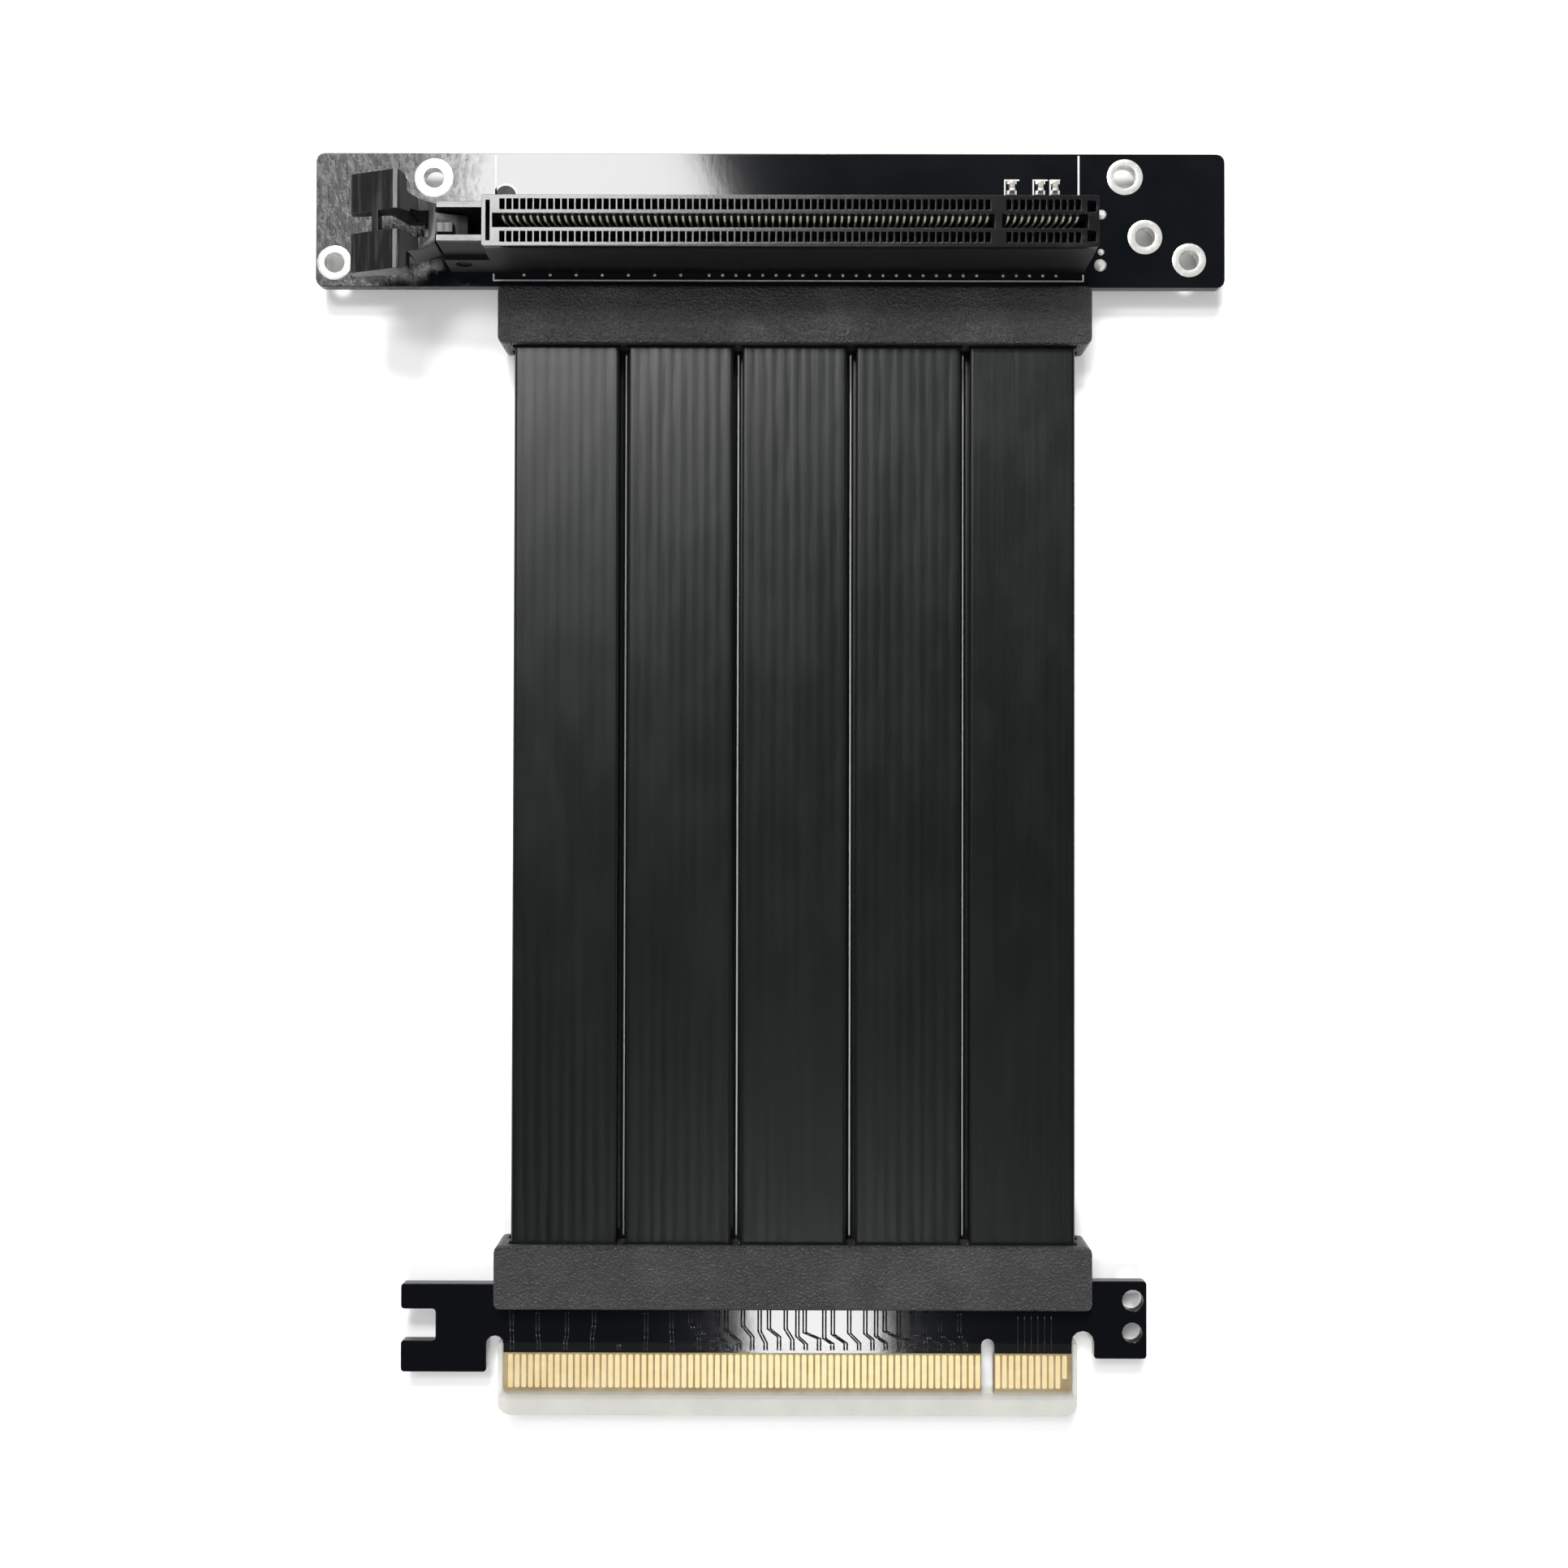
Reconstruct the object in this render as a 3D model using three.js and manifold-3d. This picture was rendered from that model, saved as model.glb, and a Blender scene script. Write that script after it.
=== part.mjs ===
// Flat ribbon riser for a graphics card: an edge plug, five pairs of ribbons and a card slot on a board.
// Millimetres, +Z up. The long axis of the ribbons is Y, the plug is at -Y and the card slot at +Y.
import * as THREE from "three";
import { mergeVertices } from "three/addons/utils/BufferGeometryUtils.js";
import Module from "manifold-3d";

const wasm = await Module();
wasm.setup();

// Overall
const overallLength = 189.6;
const fitGap = 0.3;
const boardThickness = 1.6;
const boardBottom = 2.7;
const cutReach = 1;

// Card edge standard: contact pitch, contacts on each side of the key, key notch
const contactPitch = 1;
const longContacts = 71;
const shortContacts = 11;
const keyCentreX = 33;
const keyNotchWidth = 1.9;
const firstContactFromKey = 1.5;
const edgeMargin = 1.1;

// Board that carries the card slot
const slotBoardWidth = 137.4;
const slotBoardDepth = 20.3;
const slotBoardCorner = 1.2;
const tongueWidth = 82;
const tongueCorner = 0.5;

// Plated mounting holes. The outermost one stands endHoleInset from the board's end; reach is the share
// of the way from the slot's end to that place, and fromEdge is the distance to the board's far edge.
const platingWall = 0.25;
const platingClearance = 0.15;
const padThickness = 0.06;
const endHoleInset = 2.8;
const platedHoles = [
  { name: "mount_ring_left_rear", side: -1, reach: 0.3852, fromEdge: 3.8, bore: 3, pad: 5.9 },
  { name: "mount_ring_left_front", side: -1, reach: 1, fromEdge: 16.7, bore: 3, pad: 5.2 },
  { name: "mount_ring_right_rear", side: 1, reach: 0.3315, fromEdge: 3.5, bore: 3.4, pad: 5.4 },
  { name: "mount_ring_right_middle", side: 1, reach: 0.4973, fromEdge: 12.6, bore: 3, pad: 5.2 },
  { name: "mount_ring_right_front", side: 1, reach: 0.8587, fromEdge: 16.1, bore: 3, pad: 5.1 },
];
const roundSteps = 14;

// Card slot housing
const slotEndWall = 1.9;
const slotWidth = 7.5;
const slotHeight = 11.25;
const slotFromBoardEdge = 14.4;
const slotCorner = 0.4;
const cavityWidth = 2;
const cavityFloorHeight = 1.8;
const cavityEndGap = 0.3;
const keyRibWidth = 1.1;
const windowLength = 0.7;
const windowInner = 1.6;
const windowOuter = 3.1;
const windowPlate = 3.1;
const endSlitWidth = 0.55;
const endSlitSpan = 5.8;
const endSlitInset = 0.65;
const endSlitDepth = 2.5;
const endPocketLength = 1.3;
const endPocketWidth = 1.6;
const endPocketInner = 1.35;
const endPocketDepth = 3;
const endPocketInset = 0.4;

// Sprung contacts inside the housing, stamped as combs
const contactWidth = 0.5;
const contactThickness = 0.4;
const cardThickness = 1.6;
const combBarHeight = 0.7;
const contactHeadroom = 0.4;

// Latch bracket at the slot's left end
const bracketLength = 6.6;
const bracketStepHeight = 5.3;
const earSpan = 5.8;
const earThickness = 0.95;
const earDrop = 0.35;
const bracketFloor = 0.8;
const pivotFromSlotEnd = 4;
const pivotHeight = 3.4;
const pivotPinRadius = 0.9;
const pivotPinReach = 3.5;
const pivotSteps = 12;

// Latch lever
const latchWidth = 14.4;
const latchReach = 19.4;
const paddleGap = 2.9;
const paddleGapLength = 3.5;
const paddleBridge = 1;
const paddleThickness = 1.5;
const paddleLength = 8.6;
const paddleEndHeight = 9.7;
const paddleRootDepth = 3;
const paddleCorner = 0.4;
const paddleTipRadius = 0.3;
const paddleTopRadius = 0.6;
const ridgeHeight = 11.9;
const ridgeFromEnd = 6.8;
const ridgeFlat = 0.8;
const ridgeRadius = 0.3;
const roofEndFromEnd = 10;
const roofEndHeight = 9.6;
const shoulderRadius = 1.2;
const neckHalfWidthWide = 4.3;
const neckHalfWidthNarrow = 2.9;
const neckRise = 0.4;
const neckDepth = 4.6;
const neckCorner = 0.5;
const neckUnderRadius = 0.8;
const tongueHalfWidth = 1.6;
const tongueDrop = 0.8;
const leverFootRadius = 1.7;
const leverFootCorner = 0.6;
const neckWindowHalfWidth = 1.9;
const hookLength = 2.4;
const hookThickness = 1.5;
const hookHeight = 10.8;
const hookRoot = 2;

// Moulded boots over the solder joints
const bootWidth = 88.8;
const bootHeight = 7;
const bootCentreX = 3.75;
const slotBootDepth = 8.8;
const plugBootDepth = 9.55;
const bootToBoard = 0.5;
const bootPlanCorner = 1;
const bootEdgeRadius = 0.5;
const bootMouthWall = 2;
const bootBackWall = 1.2;

// Ribbons, two layers of five
const ribbonCount = 5;
const flatRibbon = 4;
const ribbonWidth = 15.7;
const ribbonPitch = 17.1;
const lowerRibbonGap = 0.25;
const ribbonRidges = 9;
const ribbonThickness = 1.1;
const ribbonWeb = 0.7;
const flatRibbonCorner = 0.175;
const ribbonToBoard = 0.2;
const ribbonRun = 134.4;

// Plug board
const tabFromBoot = 13.35;
const maskEdgeFromTabEnd = 6;
const fingerEndFromTabEnd = 1.05;
const keyNotchDepth = 8.4;
const tabCorner = 0.8;
const keyCorner = 0.9;
const hookTabReach = 15.4;
const hookTabTop = 16.5;
const hookTabFoot = 3.3;
const hookNotchDepth = 5.2;
const hookNotchTop = 12.7;
const hookNotchBottom = 8;
const leftReliefWidth = 2.55;
const leftReliefTop = 8.7;
const leftReliefRadius = 1.2;
const holeTabReach = 11.2;
const holeTabTop = 17.1;
const holeTabFoot = 5.5;
const rightReliefWidth = 3.3;
const rightReliefTop = 9.6;
const rightReliefRadius = 1.6;
const tabEdgeRadius = 0.5;
const holeTabHoles = [
  { fromTabSide: 9.15, fromTabEnd: 14.2, bore: 3.2 },
  { fromTabSide: 9.05, fromTabEnd: 9.4, bore: 3 },
];

// Gold fingers
const fingerWidth = 0.7;
const fingerThickness = 0.05;
const fingerRoot = 0.3;
const shortFingerCut = 1.45;

// Slip-on cover over the fingers
const coverSideWall = 0.5;
const coverFaceWall = 0.6;
const coverEndWall = 2.7;
const coverLength = 10.65;
const coverCorner = 1.6;
const coverSideGap = 0.15;

// Chip parts beside the slot
const chipLength = 1.6;
const chipWidth = 0.85;
const chipHeight = 0.8;
const chipFromBoardEdge = 5.1;
const chipCentres = [36.5, 40.8, 43];

// Values that follow from the sizes above
const boardTop = boardBottom + boardThickness;
const slotBoardFarY = overallLength / 2;
const slotBoardNearY = slotBoardFarY - slotBoardDepth;
const slotCentreY = slotBoardFarY - slotFromBoardEdge;
const slotTop = boardTop + slotHeight;
const contactGroups = [
  { label: "long", places: contactPlaces(longContacts, -1) },
  { label: "short", places: contactPlaces(shortContacts, 1) },
];
const tabLeftX = Math.min(...contactGroups[0].places) - edgeMargin;
const tabRightX = Math.max(...contactGroups[1].places) + edgeMargin;
const slotLeftX = tabLeftX - slotEndWall;
const slotRightX = tabRightX + slotEndWall;
const slotBootFarY = slotBoardNearY - bootToBoard;
const slotBootNearY = slotBootFarY - slotBootDepth;
const plugBootFarY = slotBootNearY - ribbonRun;
const plugBootNearY = plugBootFarY - plugBootDepth;
const tabEndY = plugBootNearY - tabFromBoot;
const tongueLeftX = bootCentreX - tongueWidth / 2;
const tongueRightX = bootCentreX + tongueWidth / 2;
const pivotX = slotLeftX - pivotFromSlotEnd;
const pivotZ = boardTop + pivotHeight;
const earTop = slotTop - earDrop;
const latchEndX = slotLeftX - latchReach;
const latchNeckX = slotLeftX - bracketLength - fitGap;

// Colours and finishes
const finish = (color, roughness, metalness, extra = {}) =>
  new THREE.MeshStandardMaterial({ color, roughness, metalness, ...extra });
const boardMask = finish(0x0c0e10, 0.22, 0);
const housingPlastic = finish(0x141414, 0.3, 0);
const leverPlastic = finish(0x1d1d1c, 0.4, 0);
const bootRubber = finish(0x2e2f31, 0.75, 0);
const ribbonJacket = finish(0x24282c, 0.45, 0);
const contactGold = finish(0xe3c27a, 0.3, 1);
const tinnedCopper = finish(0xd9d9d6, 0.25, 1);
const coverFilm = finish(0xcfcbbf, 0.5, 0, { transparent: true, opacity: 0.5 });
const chipBody = finish(0xb9a58c, 0.5, 0);

const part = new THREE.Group();

function addPiece(name, geometry, material) {
  const mesh = new THREE.Mesh(geometry, material);
  mesh.name = name;
  part.add(mesh);
  return mesh;
}

// A closed geometry as a solid that can be joined and cut
function toSolid(geometry) {
  const bare = geometry.clone();
  bare.deleteAttribute("normal");
  bare.deleteAttribute("uv");
  const merged = mergeVertices(bare, 1e-4);
  const mesh = new wasm.Mesh({
    numProp: 3,
    vertProperties: new Float32Array(merged.attributes.position.array),
    triVerts: new Uint32Array(merged.index.array),
  });
  return new wasm.Manifold(mesh);
}

function toGeometry(solid) {
  const mesh = solid.getMesh();
  const geometry = new THREE.BufferGeometry();
  geometry.setAttribute("position", new THREE.BufferAttribute(mesh.vertProperties, 3));
  geometry.setIndex(new THREE.BufferAttribute(mesh.triVerts, 1));
  geometry.computeVertexNormals();
  return geometry;
}

function block(x0, x1, y0, y1, z0, z1) {
  const box = new THREE.BoxGeometry(x1 - x0, y1 - y0, z1 - z0);
  return box.translate((x0 + x1) / 2, (y0 + y1) / 2, (z0 + z1) / 2);
}

// Corners are [x, y, radius]; a corner with a radius becomes an arc of a few steps
function outline(corners, steps = 3) {
  const points = [];
  corners.forEach(([x, y, radius = 0], i) => {
    const corner = new THREE.Vector2(x, y);
    if (radius === 0) {
      points.push(corner);
      return;
    }
    const [lastX, lastY] = corners[(i + corners.length - 1) % corners.length];
    const [nextX, nextY] = corners[(i + 1) % corners.length];
    const back = new THREE.Vector2(lastX - x, lastY - y).normalize();
    const ahead = new THREE.Vector2(nextX - x, nextY - y).normalize();
    const halfAngle = Math.acos(THREE.MathUtils.clamp(back.dot(ahead), -1, 1)) / 2;
    const middle = back.clone().add(ahead).normalize();
    const centre = corner.clone().addScaledVector(middle, radius / Math.sin(halfAngle));
    const start = corner.clone().addScaledVector(back, radius / Math.tan(halfAngle)).sub(centre);
    const end = corner.clone().addScaledVector(ahead, radius / Math.tan(halfAngle)).sub(centre);
    const turn = Math.atan2(start.cross(end), start.dot(end));
    for (let step = 0; step <= steps; step += 1) {
      const spoke = start.clone().rotateAround(new THREE.Vector2(0, 0), (turn * step) / steps);
      points.push(spoke.add(centre));
    }
  });
  return new THREE.Shape(points);
}

function roundHole(x, y, radius, steps = roundSteps) {
  const points = [];
  for (let step = 0; step < steps; step += 1) {
    const angle = (2 * Math.PI * step) / steps;
    points.push(new THREE.Vector2(x + radius * Math.cos(angle), y + radius * Math.sin(angle)));
  }
  return new THREE.Path(points);
}

// Plan outline (x, y) raised from z0 to z1
function extrudeUp(shapes, z0, z1) {
  const geometry = new THREE.ExtrudeGeometry(shapes, { depth: z1 - z0, bevelEnabled: false });
  return geometry.translate(0, 0, z0);
}

// Side outline (x, z) swept from y0 to y1
function extrudeAlongY(shapes, y0, y1) {
  const geometry = new THREE.ExtrudeGeometry(shapes, { depth: y1 - y0, bevelEnabled: false });
  return geometry.rotateX(Math.PI / 2).translate(0, y1, 0);
}

// Cross-section (y, z) swept from x0 to x1
function extrudeAlongX(shapes, x0, x1) {
  const geometry = new THREE.ExtrudeGeometry(shapes, { depth: x1 - x0, bevelEnabled: false });
  const turn = new THREE.Matrix4().makeBasis(
    new THREE.Vector3(0, 1, 0),
    new THREE.Vector3(0, 0, 1),
    new THREE.Vector3(1, 0, 0),
  );
  return geometry.applyMatrix4(turn).translate(x0, 0, 0);
}

function rectangle(x0, x1, y0, y1, radius = 0) {
  return outline([
    [x0, y0, radius],
    [x1, y0, radius],
    [x1, y1, radius],
    [x0, y1, radius],
  ]);
}

// Round bar along Y, centred on the slot
function crossBar(radius, reach) {
  const bar = new THREE.CylinderGeometry(radius, radius, 2 * reach, pivotSteps);
  return toSolid(bar.translate(pivotX, slotCentreY, pivotZ));
}

// Contact places along X on one side of the key, from left to right
function contactPlaces(count, side) {
  const places = [];
  for (let i = 0; i < count; i += 1) {
    places.push(keyCentreX + side * (firstContactFromKey + i * contactPitch));
  }
  return side > 0 ? places : places.reverse();
}

// Centre of a plated hole in plan
function holeCentre(hole) {
  const slotEndX = hole.side > 0 ? slotRightX : slotLeftX;
  const outerX = hole.side * (slotBoardWidth / 2 - endHoleInset);
  return [slotEndX + hole.reach * (outerX - slotEndX), slotBoardFarY - hole.fromEdge];
}

function makeSlotBoard() {
  const half = slotBoardWidth / 2;
  const tongueEndY = slotBootNearY + bootMouthWall + 2 * fitGap;
  const shape = outline([
    [-half, slotBoardFarY, slotBoardCorner],
    [half, slotBoardFarY, slotBoardCorner],
    [half, slotBoardNearY, slotBoardCorner],
    [tongueRightX, slotBoardNearY],
    [tongueRightX, tongueEndY, tongueCorner],
    [tongueLeftX, tongueEndY, tongueCorner],
    [tongueLeftX, slotBoardNearY],
    [-half, slotBoardNearY, slotBoardCorner],
  ]);
  for (const hole of platedHoles) {
    const radius = hole.bore / 2 + platingWall + platingClearance;
    shape.holes.push(roundHole(...holeCentre(hole), radius));
  }
  addPiece("slot_board", extrudeUp(shape, boardBottom, boardTop), boardMask);
}

function makePlatedHoles() {
  for (const hole of platedHoles) {
    const inner = hole.bore / 2;
    const barrel = inner + platingWall;
    const pad = hole.pad / 2;
    const profile = [
      [inner, boardBottom - padThickness],
      [pad, boardBottom - padThickness],
      [pad, boardBottom],
      [barrel, boardBottom],
      [barrel, boardTop],
      [pad, boardTop],
      [pad, boardTop + padThickness],
      [inner, boardTop + padThickness],
      [inner, boardBottom - padThickness],
    ];
    const lathe = new THREE.LatheGeometry(
      profile.map(([radius, height]) => new THREE.Vector2(radius, height)),
      roundSteps,
    );
    lathe.rotateX(Math.PI / 2).translate(...holeCentre(hole), 0);
    addPiece(hole.name, lathe, tinnedCopper);
  }
}

function makePlugBoard() {
  const up = (distance) => tabEndY + distance;
  const hookLeftX = tabLeftX - hookTabReach;
  const holeRightX = tabRightX + holeTabReach;
  const keyRightX = keyCentreX + keyNotchWidth / 2;
  const keyLeftX = keyCentreX - keyNotchWidth / 2;
  const tongueEndY = plugBootFarY - bootMouthWall - 2 * fitGap;
  const shape = outline([
    [tongueLeftX, tongueEndY, tongueCorner],
    [tongueRightX, tongueEndY, tongueCorner],
    [tongueRightX, up(holeTabTop)],
    [holeRightX, up(holeTabTop), tabEdgeRadius],
    [holeRightX, up(holeTabFoot), tabEdgeRadius],
    [tabRightX + rightReliefWidth, up(holeTabFoot), tabEdgeRadius],
    [tabRightX + rightReliefWidth, up(rightReliefTop), rightReliefRadius],
    [tabRightX, up(rightReliefTop), rightReliefRadius],
    [tabRightX, tabEndY, tabCorner],
    [keyRightX, tabEndY],
    [keyRightX, up(keyNotchDepth), keyCorner],
    [keyLeftX, up(keyNotchDepth), keyCorner],
    [keyLeftX, tabEndY],
    [tabLeftX, tabEndY, tabCorner],
    [tabLeftX, up(leftReliefTop), leftReliefRadius],
    [tabLeftX - leftReliefWidth, up(leftReliefTop), leftReliefRadius],
    [tabLeftX - leftReliefWidth, up(hookTabFoot), tabEdgeRadius],
    [hookLeftX, up(hookTabFoot), tabEdgeRadius],
    [hookLeftX, up(hookNotchBottom), tabEdgeRadius],
    [hookLeftX + hookNotchDepth, up(hookNotchBottom), tabEdgeRadius],
    [hookLeftX + hookNotchDepth, up(hookNotchTop), tabEdgeRadius],
    [hookLeftX, up(hookNotchTop), tabEdgeRadius],
    [hookLeftX, up(hookTabTop), tabEdgeRadius],
    [tongueLeftX, up(hookTabTop)],
  ]);
  for (const hole of holeTabHoles) {
    const x = tabRightX + hole.fromTabSide;
    shape.holes.push(roundHole(x, up(hole.fromTabEnd), hole.bore / 2));
  }
  addPiece("plug_board", extrudeUp(shape, boardBottom, boardTop), boardMask);
}

// Gold fingers of one group, joined under the edge of the solder mask
function fingerOutline(places, shortOne) {
  const barY = tabEndY + maskEdgeFromTabEnd;
  const rootY = barY + fingerRoot;
  const corners = [[places[0] - fingerWidth / 2, rootY]];
  for (const x of places) {
    const cut = x === shortOne ? shortFingerCut : 0;
    corners.push([x - fingerWidth / 2, barY]);
    corners.push([x - fingerWidth / 2, tabEndY + fingerEndFromTabEnd + cut]);
    corners.push([x + fingerWidth / 2, tabEndY + fingerEndFromTabEnd + cut]);
    corners.push([x + fingerWidth / 2, barY]);
  }
  corners.push([places[places.length - 1] + fingerWidth / 2, rootY]);
  return outline(corners.filter((corner, i) => i !== 1 && i !== corners.length - 2));
}

function makeFingers() {
  const shortOne = Math.max(...contactGroups[1].places);
  for (const { label, places } of contactGroups) {
    const shape = fingerOutline(places, shortOne);
    addPiece(
      `fingers_top_${label}`,
      extrudeUp(shape, boardTop, boardTop + fingerThickness),
      contactGold,
    );
    addPiece(
      `fingers_bottom_${label}`,
      extrudeUp(shape, boardBottom - fingerThickness, boardBottom),
      contactGold,
    );
  }
}

// Clear sleeve that is slipped over the fingers and open towards the cable
function makeCover() {
  const left = tabLeftX - coverSideWall - coverSideGap;
  const right = tabRightX + coverSideWall + coverSideGap;
  const endY = tabEndY - coverEndWall;
  const openY = endY + coverLength;
  const pocketLow = boardBottom - fingerThickness - fitGap;
  const pocketHigh = boardTop + fingerThickness + fitGap;
  const plan = outline([
    [left, openY],
    [left, endY, coverCorner],
    [right, endY, coverCorner],
    [right, openY],
  ]);
  const shell = toSolid(extrudeUp(plan, pocketLow - coverFaceWall, pocketHigh + coverFaceWall));
  const pocket = toSolid(
    block(
      tabLeftX - coverSideGap,
      tabRightX + coverSideGap,
      tabEndY - fitGap,
      openY + cutReach,
      pocketLow,
      pocketHigh,
    ),
  );
  addPiece("finger_cover", toGeometry(shell.subtract(pocket)), coverFilm);
}

function slotCutters() {
  const cavityHalf = cavityWidth / 2;
  const floorZ = boardTop + cavityFloorHeight;
  const plateZ = slotTop - windowPlate;
  const ribHalf = keyRibWidth / 2;
  const spans = [
    [tabLeftX - cavityEndGap, keyCentreX - ribHalf],
    [keyCentreX + ribHalf, tabRightX + cavityEndGap],
  ];
  const cutters = [];
  for (const [x0, x1] of spans) {
    cutters.push(
      block(x0, x1, slotCentreY - cavityHalf, slotCentreY + cavityHalf, floorZ, slotTop + cutReach),
      block(x0, x1, slotCentreY - windowOuter, slotCentreY + windowOuter, floorZ, plateZ),
    );
  }
  const windows = [];
  for (const { places } of contactGroups) {
    for (const x of places) {
      const x0 = x - windowLength / 2;
      const x1 = x + windowLength / 2;
      windows.push(
        rectangle(x0, x1, slotCentreY + windowInner, slotCentreY + windowOuter),
        rectangle(x0, x1, slotCentreY - windowOuter, slotCentreY - windowInner),
      );
    }
  }
  cutters.push(extrudeUp(windows, plateZ - cutReach, slotTop + cutReach));

  const slitX = slotLeftX + endSlitInset;
  cutters.push(
    block(
      slitX,
      slitX + endSlitWidth,
      slotCentreY - endSlitSpan / 2,
      slotCentreY + endSlitSpan / 2,
      slotTop - endSlitDepth,
      slotTop + cutReach,
    ),
  );
  const pocketX = slotRightX - endPocketInset;
  for (const side of [-1, 1]) {
    const y0 = slotCentreY + side * endPocketInner;
    const y1 = y0 + side * endPocketWidth;
    cutters.push(
      block(
        pocketX - endPocketLength,
        pocketX,
        Math.min(y0, y1),
        Math.max(y0, y1),
        slotTop - endPocketDepth,
        slotTop + cutReach,
      ),
    );
  }
  return cutters;
}

// Stepped bracket with two ears that hold the latch pins
function latchBracket() {
  const foot = slotWidth / 2;
  const ear = earSpan / 2;
  const inside = ear - earThickness;
  const stepZ = boardTop + bracketStepHeight;
  const section = outline([
    [slotCentreY - foot, boardTop],
    [slotCentreY + foot, boardTop],
    [slotCentreY + foot, stepZ],
    [slotCentreY + ear, stepZ],
    [slotCentreY + ear, earTop],
    [slotCentreY + inside, earTop],
    [slotCentreY + inside, boardTop + bracketFloor],
    [slotCentreY - inside, boardTop + bracketFloor],
    [slotCentreY - inside, earTop],
    [slotCentreY - ear, earTop],
    [slotCentreY - ear, stepZ],
    [slotCentreY - foot, stepZ],
  ]);
  const joinDepth = endSlitInset / 2;
  return toSolid(extrudeAlongX(section, slotLeftX - bracketLength, slotLeftX + joinDepth));
}

function makeSlotHousing() {
  const plan = rectangle(
    slotLeftX,
    slotRightX,
    slotCentreY - slotWidth / 2,
    slotCentreY + slotWidth / 2,
    slotCorner,
  );
  let housing = toSolid(extrudeUp(plan, boardTop, slotTop)).add(latchBracket());
  for (const cutter of slotCutters()) {
    housing = housing.subtract(toSolid(cutter));
  }
  housing = housing.subtract(crossBar(pivotPinRadius + fitGap, slotWidth));
  addPiece("slot_housing", toGeometry(housing), housingPlastic);
}

// One row of sprung contacts: upright blades on a common bar along the housing floor
function combOutline(places) {
  const floorZ = boardTop + cavityFloorHeight;
  const barZ = floorZ + combBarHeight;
  const tipZ = slotTop - windowPlate - contactHeadroom;
  const corners = [[places[0] - contactWidth / 2, floorZ]];
  places.forEach((x, i) => {
    const first = i === 0;
    const last = i === places.length - 1;
    if (!first) corners.push([x - contactWidth / 2, barZ]);
    corners.push([x - contactWidth / 2, tipZ], [x + contactWidth / 2, tipZ]);
    if (!last) corners.push([x + contactWidth / 2, barZ]);
  });
  corners.push([places[places.length - 1] + contactWidth / 2, floorZ]);
  return outline(corners);
}

function makeContacts() {
  const inner = cardThickness / 2;
  for (const { label, places } of contactGroups) {
    const shape = combOutline(places);
    const rear = extrudeAlongY(shape, slotCentreY + inner, slotCentreY + inner + contactThickness);
    const front = extrudeAlongY(shape, slotCentreY - inner - contactThickness, slotCentreY - inner);
    addPiece(`contacts_rear_${label}`, rear, contactGold);
    addPiece(`contacts_front_${label}`, front, contactGold);
  }
}

// Latch lever: its side profile and its plan are two extrusions, and the lever is what they share
function latchSide() {
  const endZ = boardTop + paddleEndHeight;
  const ridgeX = latchEndX + ridgeFromEnd;
  const ridgeZ = boardTop + ridgeHeight;
  const roofX = latchEndX + roofEndFromEnd;
  const roofZ = boardTop + roofEndHeight;
  return outline([
    [latchEndX, endZ - paddleThickness, paddleTipRadius],
    [latchEndX, endZ, paddleTopRadius],
    [ridgeX, ridgeZ, ridgeRadius],
    [ridgeX + ridgeFlat, ridgeZ, paddleTopRadius],
    [roofX, roofZ],
    [latchNeckX, roofZ + neckRise],
    [pivotX + tongueHalfWidth, roofZ - tongueDrop],
    [pivotX + leverFootRadius, pivotZ],
    [pivotX, pivotZ - leverFootRadius, leverFootCorner],
    [pivotX - leverFootRadius, pivotZ],
    [latchNeckX, roofZ - neckDepth],
    [ridgeX + ridgeFlat, roofZ - neckDepth, neckUnderRadius],
    [ridgeX - ridgeFlat, ridgeZ - paddleRootDepth],
  ]);
}

function latchPlan() {
  const shoulderX = latchEndX + paddleLength;
  const gapX = latchEndX + paddleGapLength;
  const wide = latchWidth / 2;
  const gap = paddleGap / 2;
  const y = (offset) => slotCentreY + offset;
  return outline([
    [latchEndX, y(wide), paddleCorner],
    [shoulderX, y(wide), shoulderRadius],
    [shoulderX, y(neckHalfWidthWide), neckCorner],
    [latchNeckX, y(neckHalfWidthNarrow)],
    [latchNeckX, y(tongueHalfWidth)],
    [slotLeftX, y(tongueHalfWidth)],
    [slotLeftX, y(-tongueHalfWidth)],
    [latchNeckX, y(-tongueHalfWidth)],
    [latchNeckX, y(-neckHalfWidthNarrow)],
    [shoulderX, y(-neckHalfWidthWide), neckCorner],
    [shoulderX, y(-wide), shoulderRadius],
    [latchEndX, y(-wide), paddleCorner],
    [latchEndX, y(-gap), paddleTipRadius],
    [gapX, y(-gap)],
    [gapX, y(gap)],
    [latchEndX, y(gap), paddleTipRadius],
  ]);
}

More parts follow.
